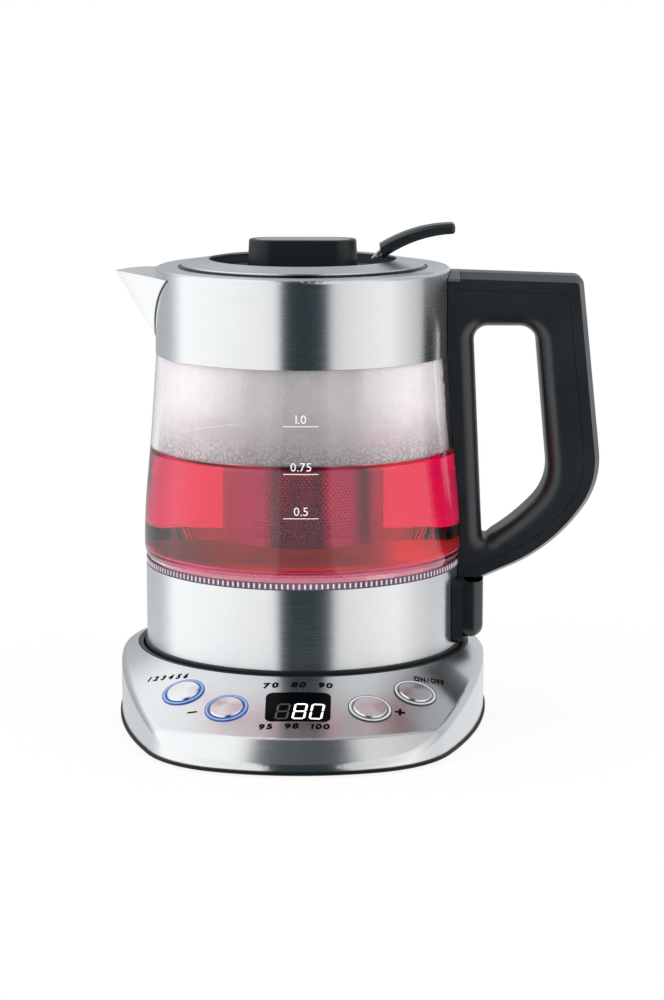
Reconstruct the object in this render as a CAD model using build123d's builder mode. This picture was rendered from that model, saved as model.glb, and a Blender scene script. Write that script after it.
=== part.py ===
from build123d import *
import os
from math import cos, pi, radians, sin, sqrt, tan

os.makedirs("parts", exist_ok=True)

# Cordless glass tea maker: a kettle with a tea infuser that stands on a control base.
# The z axis is the kettle's axis and z = 0 is the surface that the base stands on. The controls
# face -Y, the spout points to -X and the handle to +X. Heights stack upwards from the floor.

# ------------------------------------------------------------------ sizes in millimetres

# Fits
fit_gap = 0.1  # between pieces that are fixed to each other
lift_gap = 0.3  # between pieces that lift off or slide past each other
run_gap = 0.06  # radial clearance of a piece that turns in its bore
slide_gap = 0.1  # round a button's cap and plunger
edge_break = 0.5  # small edges of the moulded pieces

# Base outline: rear half circle, side, corner and front arcs that run into each other
base_margin = 7.7  # from the rim of the panel out to the base's side
base_front = 126.8
front_radius = 105.0
corner_radius = 49.0
side_radius = 250.0

# Base pan and its rubber foot
foot_proud = 0.8  # how far the foot lifts the pan off the table
foot_depth = 1.2  # depth of the foot's groove in the pan
foot_inset = 8.0
foot_width = 6.0
pan_floor = 2.0
pan_edge = 1.6  # black strip that shows below the skin
pan_wall = 2.0
pan_upstand = 1.0
pan_chamfer = 0.6

# Steel skin of the base
skin = 1.0
skin_inset = 0.8
panel_rim_radius = 74.5
panel_rim_height = 30.0
panel_slope = 22.0
bevel_slope = 41.0
crease_radius = 115.2
crease_round = 5.0
edge_round = 3.5

# Dish that the kettle stands in
dish_rim_width = 2.3
dish_rim_proud = 0.2
dish_floor = 2.0
dish_recess = 4.5  # depth of the dish below its rim
dish_flange_thickness = 1.8

# Round cordless connector
tower_radius = 14.0
tower_height = 10.9  # above the dish floor
tower_flange = 5.0
tower_flange_thickness = 1.9
tower_body_radius = 15.0
tower_body_depth = 7.7
groove_inner = 9.0
groove_outer = 12.0
groove_depth = 8.6
guard_bore = 4.0
guard_depth = 9.9
guard_wall = 1.6
guard_floor = 1.0
blade_inner = 10.2
blade_outer = 10.8
pin_radius = 1.9
contact_thickness = 0.9
contact_height = 5.8
contact_angle = 24.0
tail_radius = 1.0
tail_length = 4.0
contact_count = 3

# Controls on the sloping panel, as distance from the axis and angle from -Y
outer_button_radius = 90.6
outer_button_angle = 33.1
inner_button_radius = 97.35
inner_button_angle = 18.1
ring_outer = 9.3
ring_bore = 7.5
ring_proud = 0.4
ring_depth = 4.0
ring_flange = 1.0
ring_flange_depth = 1.7
ring_flange_thickness = 0.8
cap_radius = 7.2
cap_proud = 1.1
cap_depth = 0.7
cap_bevel = 0.5
button_travel = 0.6
plunger_radius = 7.1
plunger_flange_radius = 8.2
plunger_flange_thickness = 1.0
nub_radius = 2.0
window_radius = 94.2
window_width = 27.4
window_length = 20.5
window_corner = 3.0
window_angle = 40.0  # span of the conical face that the window is cut from
window_lip = 1.6
frame_thickness = 1.5
frame_border = 1.0
frame_angle = 84.0
frame_inset = 4.0
frame_leg_radius = 2.6
frame_leg_x = 58.0
frame_leg_y = -85.0
module_depth = 6.0
module_leg_thickness = 2.5

# Control board below the panel
board_tilt = 12.0
board_width = 104.0
board_length = 33.0
board_thickness = 1.6
board_centre_y = -85.0
board_centre_height = 11.4
board_corner = 4.0
board_post_radius = 2.5
board_post_x = 42.0
board_post_reach = 12.0
switch_size = 6.0
switch_height = 2.2
switch_pip_radius = 1.7
switch_pip_height = 0.5

# Power board below the dish
power_board_width = 76.0
power_board_length = 56.0
power_board_gap = 24.2  # behind it to the rear wall
power_board_lift = 2.4
power_post_radius = 3.0
power_post_inset = 6.0
relay_size = (15.0, 19.0, 13.0)
relay_place = (-27.0, -6.0)  # from the board's centre
transformer_size = (22.0, 20.0, 14.0)
transformer_place = (16.0, 12.0)
transformer_core = 2.0
capacitor_radius = 4.5
capacitor_height = 12.0
capacitor_places = [(-28.0, 16.0), (-16.0, 16.0), (-4.0, 21.0)]
buzzer_radius = 6.0
buzzer_height = 8.0
buzzer_place = (27.0, -13.0)
ribbon_x = 28.0
ribbon_width = 10.0
ribbon_thickness = 0.9

# Inlet of the mains lead
grommet_height = 13.5
grommet_bore = 3.6
grommet_neck = 5.5
grommet_flange = 7.2
grommet_flange_thickness = 2.0

# Screws
screw_shank = 1.5
screw_head = 3.0
screw_head_height = 1.8
screw_hole = 1.7
screw_socket = 1.3
socket_depth = 0.9
base_screw_place = 45.0
base_screw_length = 14.0
base_boss_radius = 5.5
base_boss_height = 3.2
dish_boss_radius = 4.0
head_recess = 3.5

# Kettle: bottom plate, housing and lower steel band
kettle_plate = 1.0
kettle_plate_step = 1.5
kettle_plate_hole = 15.0
kettle_foot_radius = 71.3
kettle_foot_height = 4.6
band_radius = 70.4
band_sheet = 0.8
band_height = 35.1
housing_wall = 2.1
ledge_depth = 1.5
ledge_drop = 1.9  # ledge below the top of the housing wall
ledge_inner = 62.0
rib_thickness = 0.8
boss_radius = 4.0
boss_angles = [60.0, 180.0, 300.0]
kettle_screw_length = 12.0

# Kettle: lamps and ribbed light ring
light_ring_height = 2.9
light_ring_inner = 66.4
light_ring_ribs = 180
light_ring_rib_depth = 0.5
led_board_outer = 66.2
led_board_thickness = 1.2
led_count = 24
led_size = 1.2
led_radius = 64.8

# Kettle: heater
heater_flange_outer = 66.0
heater_wall_radius = 61.0
heater_sheet = 0.9
heater_depth = 7.1
spreader_radius = 50.0
spreader_thickness = 2.0
element_radius = 42.0
element_tube = 3.3
element_arc = 320.0
element_tail = 10.0
element_tail_radius = 1.6
sensor_radius = 3.0
sensor_length = 9.0
sensor_y = 14.0
cutout_size = (14.0, 10.0, 6.0)
cutout_x = 17.0
cutout_y = -12.0

# Kettle: socket half of the connector
socket_radius = 20.0
socket_gap = 0.6
socket_roof = 2.9
socket_clearance = 1.0  # between tower top and socket roof
terminal_width = 6.3
terminal_thickness = 0.8
terminal_height = 7.5
terminal_place = 8.0
pin_seat = 1.4

# Glass body
glass_wall = 3.2
glass_floor = 2.0
glass_height = 90.7  # from its foot to the shoulder below the collar
glass_heel_radius = 69.6
glass_belly_radius = 71.1
glass_belly_height = 6.4
glass_middle_radius = 68.0
glass_middle_height = 51.8
glass_shoulder_radius = 65.1
glass_lip_inner = 62.5
glass_inner_round = 4.0
glass_neck_step = 1.6
glass_neck_height = 5.4
glass_neck_wall = 2.6
seal_wall = 1.3
seal_lip = 0.9
lower_seal_inner = 61.0
lower_seal_height = 3.4

# Collar, its liner and the spout
collar_sheet = 0.8
collar_height = 38.1
collar_round = 1.6
collar_rim_width = 10.0
liner_wall = 2.9
liner_flange_step = 1.7
liner_flange_thickness = 3.9
pour_slot_width = 3.0
pour_slot_count = 7
pour_slot_pitch = 5.0  # degrees
spout_heading = 180.0  # degrees from +X
pour_slot_height = 13.0
pour_slot_drop = 7.8  # top of the slots below the collar top
spout_sheet = 0.9
spout_reach = 18.0
spout_root_depth = 10.1
spout_half_width = 34.7
spout_mid_reach = 3.9
spout_mid_half_width = 22.0
spout_tip_round = 2.0
spout_top_drop = 1.6
spout_mid_drop = 2.2
spout_tip_drop = 1.9
spout_root_drop = 4.3
spout_depth = 29.8
mouth_drop = 6.0

# Handle, seen from the front; its outline runs from the collar round to the lower post
handle_half_width = 14.0
handle_clearance = 0.2
handle_start_gap = 4.2
handle_top_drop = 1.8
handle_corner_reach = 58.3
handle_corner_drop = 3.6
handle_corner_round = 4.0
handle_back_heading = -84.0
handle_back_length = 78.4
handle_bend_radius = 37.0
handle_bend_turn = 40.0
handle_sweep_radius = 77.4
handle_sweep_turn = 32.4
handle_tail = 15.0
cover_depth = 7.2
cover_bevel = 2.5
cover_bevel_side = 8.0
cover_pocket_half_width = 8.5
cover_wall = 3.2
cover_start_reach = 2.1
cover_end_reach = 6.7
cover_end_round = 2.5
seam_gap = 0.15
hole_top_drop = 25.5
hole_top_left_reach = 10.1
hole_top_right_reach = 37.6
hole_back_heading = -84.7
hole_back_length = 60.9
hole_bend_radius = 22.6
hole_bend_turn = 48.3
hole_sweep_radius = 89.0
hole_sweep_turn = 15.0
hole_bottom_left_reach = 14.8
hole_height = 97.0
hole_left_round = 6.0
hole_right_round = 8.0
hole_bottom_round = 1.8
grip_round = 7.0
foot_round = 5.2
saddle_x = 71.0  # lower end of the post, where it wraps the steel band
saddle_half_width = 24.4
saddle_round = 3.0
body_wall = 3.0
body_pocket_half_width = 10.0
body_pocket_reach = 18.7
post_reach = 15.4
post_bottom_gap = 1.7
post_bottom_round = 5.5
foot_joint_rise = 2.5  # joint in the post above the end of the loop
top_block_reach = 4.0
top_block_height = 3.6
handle_screw_length = 11.0
upper_screw_drops = [11.0, 21.0]
lower_screw_rises = [8.5, 20.5]

# Lid ring and its carrier
lid_hole = 41.5
lid_rise = 3.5  # inner edge of the lid ring above the collar
lid_edge_width = 1.1
lid_flat_rise = 1.5
lid_edge_gap = 0.9
lid_sheet = 0.8
carrier_bore = 42.3
carrier_radius = 51.6
carrier_ledge_inner = 38.6
carrier_ledge = 2.0
carrier_depth = 8.8  # carrier underside below the collar top
carrier_shoulder = 1.4
lid_seal_height = 3.6

# Infuser
rim_radius = 40.9
rim_height = 5.2
rim_bore = 37.5
rim_ledge_inner = 35.0
rim_ledge = 1.9
funnel_shoulder = 3.3
funnel_height = 6.0
funnel_wall = 1.7
sleeve_height = 5.0
basket_radius = 27.0
basket_sheet = 0.6
basket_length = 105.5
strap_width = 10.0
strap_thickness = 1.3
strap_bend_x = 30.8  # where the strap stands upright above the lid ring
strap_bend_rise = 0.4  # heights above the collar top
strap_turn_rise = 3.0
strap_end_x = 37.4
strap_end_rise = 9.8
lever_half_width = 6.0
lever_bevel = 1.2
lever_root_x = 33.9
lever_root_rise = 9.7
lever_arch_x = 53.0
lever_arch_rise = 17.6
lever_reach = 67.2
lever_tip_rise = 19.1
lever_tip_thickness = 4.4
lever_tip_round = 1.4
lever_belly_x = 49.9
lever_belly_rise = 11.4
lever_heel_x = 35.3
lever_heel_rise = 3.6

# Infuser cover and its knob
cover_disc_gap = 0.3
cover_disc = 3.0
cover_notch_x = 28.5
cover_notch_width = 14.0
knob_length = 48.8
knob_width = 21.4
knob_height = 13.4
knob_taper = 3.0
knob_edge = 0.8
knob_wall = 2.6
knob_cap_inset = 2.5
knob_cap_thickness = 0.8
knob_boss_radius = 3.4
knob_boss_x = 13.0
knob_screw_length = 9.0

# ------------------------------------------------------------------ heights, stacked upwards

base_radius = panel_rim_radius + base_margin
power_board_y = base_radius - power_board_gap - power_board_length / 2
dish_flange = base_margin - edge_round
frame_inner = window_radius - window_length / 2 - frame_border
frame_outer = inner_button_radius + ring_outer + ring_flange + lift_gap + frame_border

pan_bottom = foot_proud
pan_floor_top = pan_bottom + pan_floor
skin_bottom = pan_bottom + pan_edge
dish_rim_top = panel_rim_height + dish_rim_proud
dish_floor_top = dish_rim_top - dish_recess
dish_floor_bottom = dish_floor_top - dish_floor
tower_top = dish_floor_top + tower_height
tower_flange_bottom = dish_floor_bottom - fit_gap - tower_flange_thickness
tower_bottom = tower_flange_bottom - tower_body_depth
power_board_bottom = pan_floor_top + power_board_lift
power_board_top = power_board_bottom + board_thickness

kettle_seat = dish_floor_top + lift_gap
kettle_foot_bottom = kettle_seat + kettle_plate
kettle_plate_top = kettle_foot_bottom + kettle_plate_step
kettle_foot_top = kettle_foot_bottom + kettle_foot_height
band_bottom = kettle_foot_top + fit_gap
band_top = band_bottom + band_height
light_ring_bottom = band_top + fit_gap
light_ring_top = light_ring_bottom + light_ring_height
ledge_top = light_ring_bottom - ledge_drop
ledge_bottom = ledge_top - ledge_depth
glass_bottom = light_ring_top + fit_gap
glass_belly = glass_bottom + glass_belly_height
glass_shoulder = glass_bottom + glass_height
glass_neck_top = glass_shoulder + glass_neck_height
lower_seal_bottom = glass_bottom - seal_wall
heater_flange_bottom = lower_seal_bottom - heater_sheet
heater_bottom = lower_seal_bottom - heater_depth - heater_sheet
spreader_bottom = heater_bottom - spreader_thickness
glass_neck_radius = glass_shoulder_radius - glass_neck_step
collar_radius = glass_neck_radius + seal_lip + fit_gap + collar_sheet
collar_opening = collar_radius - collar_rim_width
lid_radius = collar_opening - lid_edge_gap
lid_flat_radius = lid_radius - lid_edge_width
lid_seal_radius = lid_flat_radius
liner_flange_inner = collar_opening - liner_flange_step
spout_tip = collar_radius + spout_reach
spout_root_x = collar_radius - spout_root_depth
spout_mid_x = collar_radius + spout_mid_reach
top_block_x = collar_radius + top_block_reach
handle_corner_x = collar_radius + handle_corner_reach
cover_start_x = collar_radius + cover_start_reach
cover_end_x = collar_radius + cover_end_reach
hole_top_left_x = collar_radius + hole_top_left_reach
hole_top_right_x = collar_radius + hole_top_right_reach
hole_bottom_left_x = collar_radius + hole_bottom_left_reach
body_pocket_x = collar_radius + body_pocket_reach
post_x = collar_radius + post_reach
collar_bottom = glass_shoulder + fit_gap
collar_top = collar_bottom + collar_height
liner_bottom = glass_neck_top + seal_wall + fit_gap
liner_top = collar_top - collar_sheet - fit_gap
lid_rest = liner_top + lift_gap
carrier_bottom = collar_top - carrier_depth
carrier_ledge_top = carrier_bottom + carrier_ledge
rim_bottom = carrier_ledge_top + lift_gap
rim_top = rim_bottom + rim_height
rim_ledge_top = rim_bottom + rim_ledge
sleeve_top = rim_bottom - funnel_shoulder - funnel_height
disc_bottom = rim_ledge_top + cover_disc_gap
disc_top = disc_bottom + cover_disc
knob_top = disc_top + knob_height
handle_start = (collar_radius + handle_start_gap, collar_top - handle_top_drop)
handle_corner = (handle_corner_x, collar_top - handle_corner_drop)
hole_top = collar_top - hole_top_drop
post_bottom = kettle_foot_top + post_bottom_gap

housing_radius = band_radius - band_sheet - fit_gap
housing_inner = housing_radius - housing_wall
boss_place = housing_inner - boss_radius + 2 * fit_gap
liner_radius = collar_radius - collar_sheet - fit_gap
dish_radius = panel_rim_radius - dish_rim_width - lift_gap + fit_gap

# ------------------------------------------------------------------ shared shapes


def half_section(points):
    """Closed half section in the XZ plane from (radius, height) points."""
    with BuildSketch(Plane.XZ) as section:
        with BuildLine():
            Polyline(*points, close=True)
        make_face()
    return section.sketch


def ring_section(inner, outer, bottom, top):
    """Half section of a plain ring."""
    return half_section([(inner, bottom), (outer, bottom), (outer, top), (inner, top)])


def keep(builder, name):
    """Label a finished sub-part and write it under its node's name."""
    builder.part.label = name
    export_step(builder.part, f"parts/{name}.step")


def circle_crossing(centre_a, radius_a, centre_b, radius_b):
    """Front crossing point of two circles."""
    span = centre_b - centre_a
    along = (radius_a**2 - radius_b**2 + span.length**2) / (2 * span.length)
    across = sqrt(radius_a**2 - along**2)
    unit = span.normalized()
    side = Vector(-unit.Y, unit.X) * across
    foot = centre_a + unit * along
    return min(foot + side, foot - side, key=lambda point: point.Y)


def base_outline(inset):
    """Outline of the base seen from above, moved inwards by inset."""
    front_centre = Vector(0, front_radius - base_front)
    side_centre = Vector(base_radius - side_radius, 0)
    corner_centre = circle_crossing(
        front_centre, front_radius - corner_radius, side_centre, side_radius - corner_radius
    )
    front_end = front_centre + (corner_centre - front_centre).normalized() * (front_radius - inset)
    side_start = side_centre + (corner_centre - side_centre).normalized() * (side_radius - inset)
    rear = base_radius - inset
    with BuildSketch() as outline:
        with BuildLine():
            front = ThreePointArc((-front_end.X, front_end.Y), (0, inset - base_front), front_end)
            corner = TangentArc(front @ 1, side_start, tangent=front % 1)
            side = TangentArc(corner @ 1, (rear, 0), tangent=corner % 1)
            mirror(corner, about=Plane.YZ)
            mirror(side, about=Plane.YZ)
            ThreePointArc((rear, 0), (0, rear), (-rear, 0))
        make_face()
    return outline.sketch


def panel_height(radius, drop=0.0):
    """Height of the sloping panel at a distance from the axis, drop below its face."""
    fall = (radius - panel_rim_radius) * tan(radians(panel_slope))
    return panel_rim_height - fall - drop / cos(radians(panel_slope))


def panel_plane(radius, angle):
    """Plane on the panel at an angle from -Y, its z direction square to the panel."""
    turn = radians(angle)
    tilt = radians(panel_slope)
    return Plane(
        origin=(radius * sin(turn), -radius * cos(turn), panel_height(radius)),
        x_dir=(cos(turn), sin(turn), 0),
        z_dir=(sin(tilt) * sin(turn), -sin(tilt) * cos(turn), cos(tilt)),
    )


def base_block(inset, drop):
    """Solid under the base's skin: walls moved in by inset, sloping faces lowered by drop."""
    slope = radians(panel_slope)
    bevel = radians(bevel_slope)
    shift = drop * (1 / cos(slope) - 1 / cos(bevel)) / (tan(bevel) - tan(slope))
    crease = crease_radius + shift
    toe = crease + panel_height(crease, drop) / tan(bevel)
    with BuildPart() as block:
        with BuildSketch(Plane.XY.offset(skin_bottom)):
            add(base_outline(inset))
        extrude(amount=panel_height(0))
        with BuildSketch(Plane.XZ) as profile:
            with BuildLine():
                Polyline(
                    (0, 0),
                    (0, panel_height(0, drop)),
                    (crease, panel_height(crease, drop)),
                    (toe, 0),
                    close=True,
                )
            make_face()
            fillet(profile.vertices().sort_by(Axis.X)[-2], crease_round - drop)
        revolve(axis=Axis.Z, mode=Mode.INTERSECT)
        walls = block.faces().filter_by(lambda face: abs(face.normal_at().Z) < 0.01)
        rim = walls.edges().filter_by(GeomType.LINE, reverse=True)
        fillet(rim.filter_by(lambda edge: edge.center().Z > skin_bottom + fit_gap), edge_round - drop)
    return block.part


def glass_line(gap):
    """Outer line of the glass from its belly to its shoulder, moved outwards by gap."""
    belly = (glass_belly_radius + gap, glass_belly)
    middle = (glass_middle_radius + gap, glass_bottom + glass_middle_height)
    shoulder = (glass_shoulder_radius + gap, glass_shoulder)
    rise = (shoulder[0] - middle[0], shoulder[1] - middle[1])
    return Spline(belly, middle, shoulder, tangents=[(0, 1), rise])


def kettle_envelope(gap):
    """Solid that fills the kettle's outer surface of revolution, made larger by gap."""
    with BuildPart() as envelope:
        with BuildSketch(Plane.XZ):
            with BuildLine():
                glass = glass_line(gap)
                Polyline(
                    glass @ 0,
                    (band_radius + gap, glass_bottom),
                    (band_radius + gap, 0),
                    (0, 0),
                    (0, 2 * collar_top),
                    (collar_radius + gap, 2 * collar_top),
                    (collar_radius + gap, collar_bottom),
                    glass @ 1,
                )
            make_face()
        revolve(axis=Axis.Z)
    return envelope.part


def screw(length):
    """Pan head screw with its head's upper face at the origin and its shank along -z."""
    with BuildPart() as fastener:
        with Locations((0, 0, -screw_head_height)):
            Cylinder(screw_head, screw_head_height, align=(Align.CENTER, Align.CENTER, Align.MIN))
        with Locations((0, 0, -length)):
            Cylinder(screw_shank, length, align=(Align.CENTER, Align.CENTER, Align.MIN))
        with BuildSketch():
            RegularPolygon(screw_socket, 6)
        extrude(amount=-socket_depth, mode=Mode.SUBTRACT)
    return fastener.part


# ------------------------------------------------------------------ power base

base_screw_points = GridLocations(2 * base_screw_place, 2 * base_screw_place, 2, 2).locations
power_post_points = GridLocations(
    power_board_width - 2 * power_post_inset, power_board_length - 2 * power_post_inset, 2, 2
).locations
controls = {
    "program": (outer_button_radius, -outer_button_angle),
    "minus": (inner_button_radius, -inner_button_angle),
    "plus": (inner_button_radius, inner_button_angle),
    "power": (outer_button_radius, outer_button_angle),
}
window_plane = panel_plane(window_radius, 0)
board_plane = Plane(
    origin=(0, board_centre_y, board_centre_height),
    x_dir=(1, 0, 0),
    z_dir=(0, -sin(radians(board_tilt)), cos(radians(board_tilt))),
)


def board_height(y):
    """Height of the control board's upper face at a distance y."""
    return board_centre_height + (y - board_centre_y) * tan(radians(board_tilt))


def panel_cutter(clearance):
    """Prism of the display window, square to the panel."""
    with BuildPart() as prism:
        with BuildSketch(window_plane):
            RectangleRounded(
                window_width + 2 * clearance, window_length + 2 * clearance, window_corner + clearance
            )
        extrude(amount=panel_rim_height, both=True)
    return prism.part


def panel_shell(top_drop, bottom_drop, inner, outer, angle):
    """Part of a conical shell below the panel's face, centred on -Y."""
    with BuildPart() as shell:
        section = half_section(
            [
                (inner, panel_height(inner, bottom_drop)),
                (outer, panel_height(outer, bottom_drop)),
                (outer, panel_height(outer, top_drop)),
                (inner, panel_height(inner, top_drop)),
            ]
        )
        revolve(section.rotate(Axis.Z, -90 - angle / 2), axis=Axis.Z, revolution_arc=angle)
    return shell.part


with BuildPart() as foot_ring:
    with BuildSketch():
        add(base_outline(foot_inset))
        add(base_outline(foot_inset + foot_width), mode=Mode.SUBTRACT)
    extrude(amount=foot_proud + foot_depth)
keep(foot_ring, "foot_ring")

with BuildPart() as base_bottom:
    with BuildSketch(Plane.XY.offset(pan_bottom)):
        add(base_outline(0))
    extrude(amount=pan_edge)
    chamfer(base_bottom.faces().sort_by(Axis.Z)[0].edges(), pan_chamfer)
    with BuildSketch(Plane.XY.offset(skin_bottom)):
        add(base_outline(skin_inset + skin + lift_gap))
    extrude(amount=pan_upstand)
    with BuildSketch(Plane.XY.offset(pan_floor_top)):
        add(base_outline(skin_inset + skin + lift_gap + pan_wall))
    extrude(amount=panel_rim_height, mode=Mode.SUBTRACT)
    with BuildSketch(Plane.XY.offset(pan_bottom)):
        add(base_outline(foot_inset - fit_gap))
        add(base_outline(foot_inset + foot_width + fit_gap), mode=Mode.SUBTRACT)
    extrude(amount=foot_depth, mode=Mode.SUBTRACT)
    with BuildSketch(Plane.XY.offset(pan_floor_top)):
        with Locations(base_screw_points):
            Circle(base_boss_radius)
    extrude(amount=base_boss_height)
    with BuildSketch(Plane.XY.offset(pan_floor_top)):
        with Locations((0, power_board_y)):
            with Locations(power_post_points):
                Circle(power_post_radius)
    extrude(amount=power_board_lift)
    for side in (-1, 1):
        for reach in (-board_post_reach, board_post_reach):
            post_y = board_centre_y + reach
            board_under = board_thickness / cos(radians(board_tilt))
            underside = board_height(post_y - board_post_radius) - board_under
            with BuildSketch(Plane.XY.offset(pan_floor_top)):
                with Locations((side * board_post_x, post_y)):
                    Circle(board_post_radius)
            extrude(amount=underside - fit_gap - pan_floor_top)
    with BuildSketch(Plane.XY.offset(pan_bottom)):
        with Locations(base_screw_points):
            Circle(head_recess)
    extrude(amount=pan_floor, mode=Mode.SUBTRACT)
    with BuildSketch(Plane.XY.offset(pan_bottom)):
        with Locations(base_screw_points):
            Circle(screw_hole)
    extrude(amount=pan_floor + base_boss_height, mode=Mode.SUBTRACT)
keep(base_bottom, "base_bottom")

with BuildPart() as base_shell:
    add(base_block(skin_inset, 0))
    add(base_block(skin_inset + skin, skin), mode=Mode.SUBTRACT)
    with BuildSketch():
        Circle(panel_rim_radius)
    extrude(amount=panel_height(0), mode=Mode.SUBTRACT)
    for radius, angle in controls.values():
        with BuildSketch(panel_plane(radius, angle)):
            Circle(ring_outer + fit_gap)
        extrude(amount=ring_depth, both=True, mode=Mode.SUBTRACT)
    add(panel_cutter(fit_gap), mode=Mode.SUBTRACT)
    with BuildSketch(Plane.XZ):
        with Locations((0, grommet_height)):
            Circle(grommet_neck + fit_gap)
    extrude(amount=-2 * base_radius, mode=Mode.SUBTRACT)
keep(base_shell, "base_shell")

with BuildPart() as base_dish:
    dish_outer = dish_radius + dish_rim_width
    flange_outer = dish_outer + dish_flange
    flange_drop = skin + dish_flange_thickness
    revolve(
        half_section(
            [
                (tower_radius + lift_gap, dish_floor_bottom),
                (dish_outer, dish_floor_bottom),
                (dish_outer, panel_height(dish_outer, flange_drop)),
                (flange_outer, panel_height(flange_outer, flange_drop)),
                (flange_outer, panel_height(flange_outer, skin + fit_gap)),
                (dish_outer, panel_height(dish_outer, skin + fit_gap)),
                (dish_outer, dish_rim_top),
                (dish_radius, dish_rim_top),
                (dish_radius, dish_floor_top),
                (tower_radius + lift_gap, dish_floor_top),
            ]
        ),
        axis=Axis.Z,
    )
    fillet(base_dish.faces().sort_by(Axis.Z)[-1].edges(), dish_rim_width / 4)
    with BuildSketch(Plane.XY.offset(dish_floor_bottom)):
        with Locations(base_screw_points):
            Circle(dish_boss_radius)
    extrude(amount=pan_floor_top + base_boss_height - dish_floor_bottom)
    with BuildSketch(Plane.XY.offset(pan_floor_top)):
        with Locations(base_screw_points):
            Circle(screw_shank + run_gap)
    extrude(amount=base_screw_length + base_boss_height, mode=Mode.SUBTRACT)
keep(base_dish, "base_dish")

with BuildPart() as base_screws:
    for place in base_screw_points:
        head_top = pan_floor_top - screw_head_height
        fastener = screw(base_screw_length).rotate(Axis.X, 180)
        add(fastener.translate((place.position.X, place.position.Y, head_top)))
keep(base_screws, "base_screws")

with BuildPart() as base_connector:
    revolve(
        half_section(
            [
                (0, tower_bottom),
                (tower_body_radius, tower_bottom),
                (tower_body_radius, tower_flange_bottom),
                (tower_radius + tower_flange, tower_flange_bottom),
                (tower_radius + tower_flange, dish_floor_bottom - fit_gap),
                (tower_radius, dish_floor_bottom - fit_gap),
                (tower_radius, tower_top),
                (groove_outer, tower_top),
                (groove_outer, tower_top - groove_depth),
                (groove_inner, tower_top - groove_depth),
                (groove_inner, tower_top),
                (guard_bore, tower_top),
                (guard_bore, tower_top - guard_depth),
                (0, tower_top - guard_depth),
            ]
        ),
        axis=Axis.Z,
    )
keep(base_connector, "base_connector")

guard_bottom = tower_top - guard_depth + lift_gap
with BuildPart() as connector_guard:
    guard_radius = guard_bore - run_gap
    revolve(
        half_section(
            [
                (0, guard_bottom),
                (guard_radius, guard_bottom),
                (guard_radius, tower_top - lift_gap),
                (guard_radius - guard_wall, tower_top - lift_gap),
                (guard_radius - guard_wall, guard_bottom + guard_floor),
                (0, guard_bottom + guard_floor),
            ]
        ),
        axis=Axis.Z,
    )
keep(connector_guard, "connector_guard")

with BuildPart() as connector_contacts:
    contact_bottom = tower_top - groove_depth
    contact = ring_section(
        groove_outer - contact_thickness, groove_outer, contact_bottom, contact_bottom + contact_height
    )
    for index in range(contact_count):
        start = index * 360 / contact_count
        revolve(contact.rotate(Axis.Z, start), axis=Axis.Z, revolution_arc=contact_angle)
    with BuildSketch(Plane.XY.offset(tower_bottom - tail_length)):
        with PolarLocations(groove_outer, contact_count, start_angle=contact_angle / 2):
            Circle(tail_radius)
    extrude(amount=tail_length)
keep(connector_contacts, "connector_contacts")

with BuildPart() as display_window:
    add(panel_shell(0, skin, panel_rim_radius + skin, crease_radius, window_angle))
    add(panel_cutter(0), mode=Mode.INTERSECT)
keep(display_window, "display_window")

with BuildPart() as panel_frame:
    add(panel_shell(skin + fit_gap, skin + fit_gap + frame_thickness, frame_inner, frame_outer, frame_angle))
    with BuildSketch():
        add(base_outline(skin_inset + skin + frame_inset))
    extrude(amount=panel_rim_height, mode=Mode.INTERSECT)
    leg_reach = sqrt(frame_leg_x**2 + frame_leg_y**2) + frame_leg_radius
    leg_top = panel_height(leg_reach, skin + 2 * fit_gap)
    with BuildSketch(Plane.XY.offset(pan_floor_top)):
        with Locations((frame_leg_x, frame_leg_y), (-frame_leg_x, frame_leg_y)):
            Circle(frame_leg_radius)
    extrude(amount=leg_top - pan_floor_top)
    for radius, angle in controls.values():
        with BuildSketch(panel_plane(radius, angle)):
            Circle(ring_outer + ring_flange + lift_gap)
        extrude(amount=ring_depth, both=True, mode=Mode.SUBTRACT)
    add(panel_cutter(-window_lip), mode=Mode.SUBTRACT)
keep(panel_frame, "panel_frame")

module_width = window_width - 2 * window_lip - 2 * lift_gap
module_length = window_length - 2 * window_lip - 2 * lift_gap
window_sag = (module_width / 2) ** 2 * cos(radians(panel_slope)) / (2 * window_radius)
module_top = -(skin + window_sag + fit_gap)
with BuildPart() as display_module:
    module_reach = (window_plane.origin - board_plane.origin).dot(board_plane.z_dir)
    module_reach = module_reach / window_plane.z_dir.dot(board_plane.z_dir)
    with BuildSketch(window_plane.offset(module_top)):
        RectangleRounded(module_width, module_length, window_corner - window_lip)
    extrude(amount=-module_depth)
    with BuildSketch(window_plane.offset(module_top - module_depth)):
        with GridLocations(0, module_length - module_leg_thickness, 1, 2):
            Rectangle(module_width, module_leg_thickness)
    extrude(amount=-(module_reach + module_top - module_depth + board_thickness))
    split(bisect_by=board_plane.offset(fit_gap), keep=Keep.TOP)
keep(display_module, "display_module")

with BuildPart() as control_board:
    with BuildSketch(board_plane):
        RectangleRounded(board_width, board_length, board_corner)
    extrude(amount=-board_thickness)
keep(control_board, "control_board")


def board_point(plane):
    """Where the axis of a button meets the control board's upper face, and how deep that is."""
    depth = (plane.origin - board_plane.origin).dot(board_plane.z_dir) / plane.z_dir.dot(board_plane.z_dir)
    return plane.origin - plane.z_dir * depth, depth


with BuildPart() as tact_switches:
    for radius, angle in controls.values():
        point, depth = board_point(panel_plane(radius, angle))
        switch_plane = Plane(origin=point, x_dir=board_plane.x_dir, z_dir=board_plane.z_dir)
        with BuildSketch(switch_plane):
            Rectangle(switch_size, switch_size)
        extrude(amount=switch_height)
        with BuildSketch(switch_plane):
            Circle(switch_pip_radius)
        extrude(amount=switch_height + switch_pip_height)
keep(tact_switches, "tact_switches")

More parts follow.
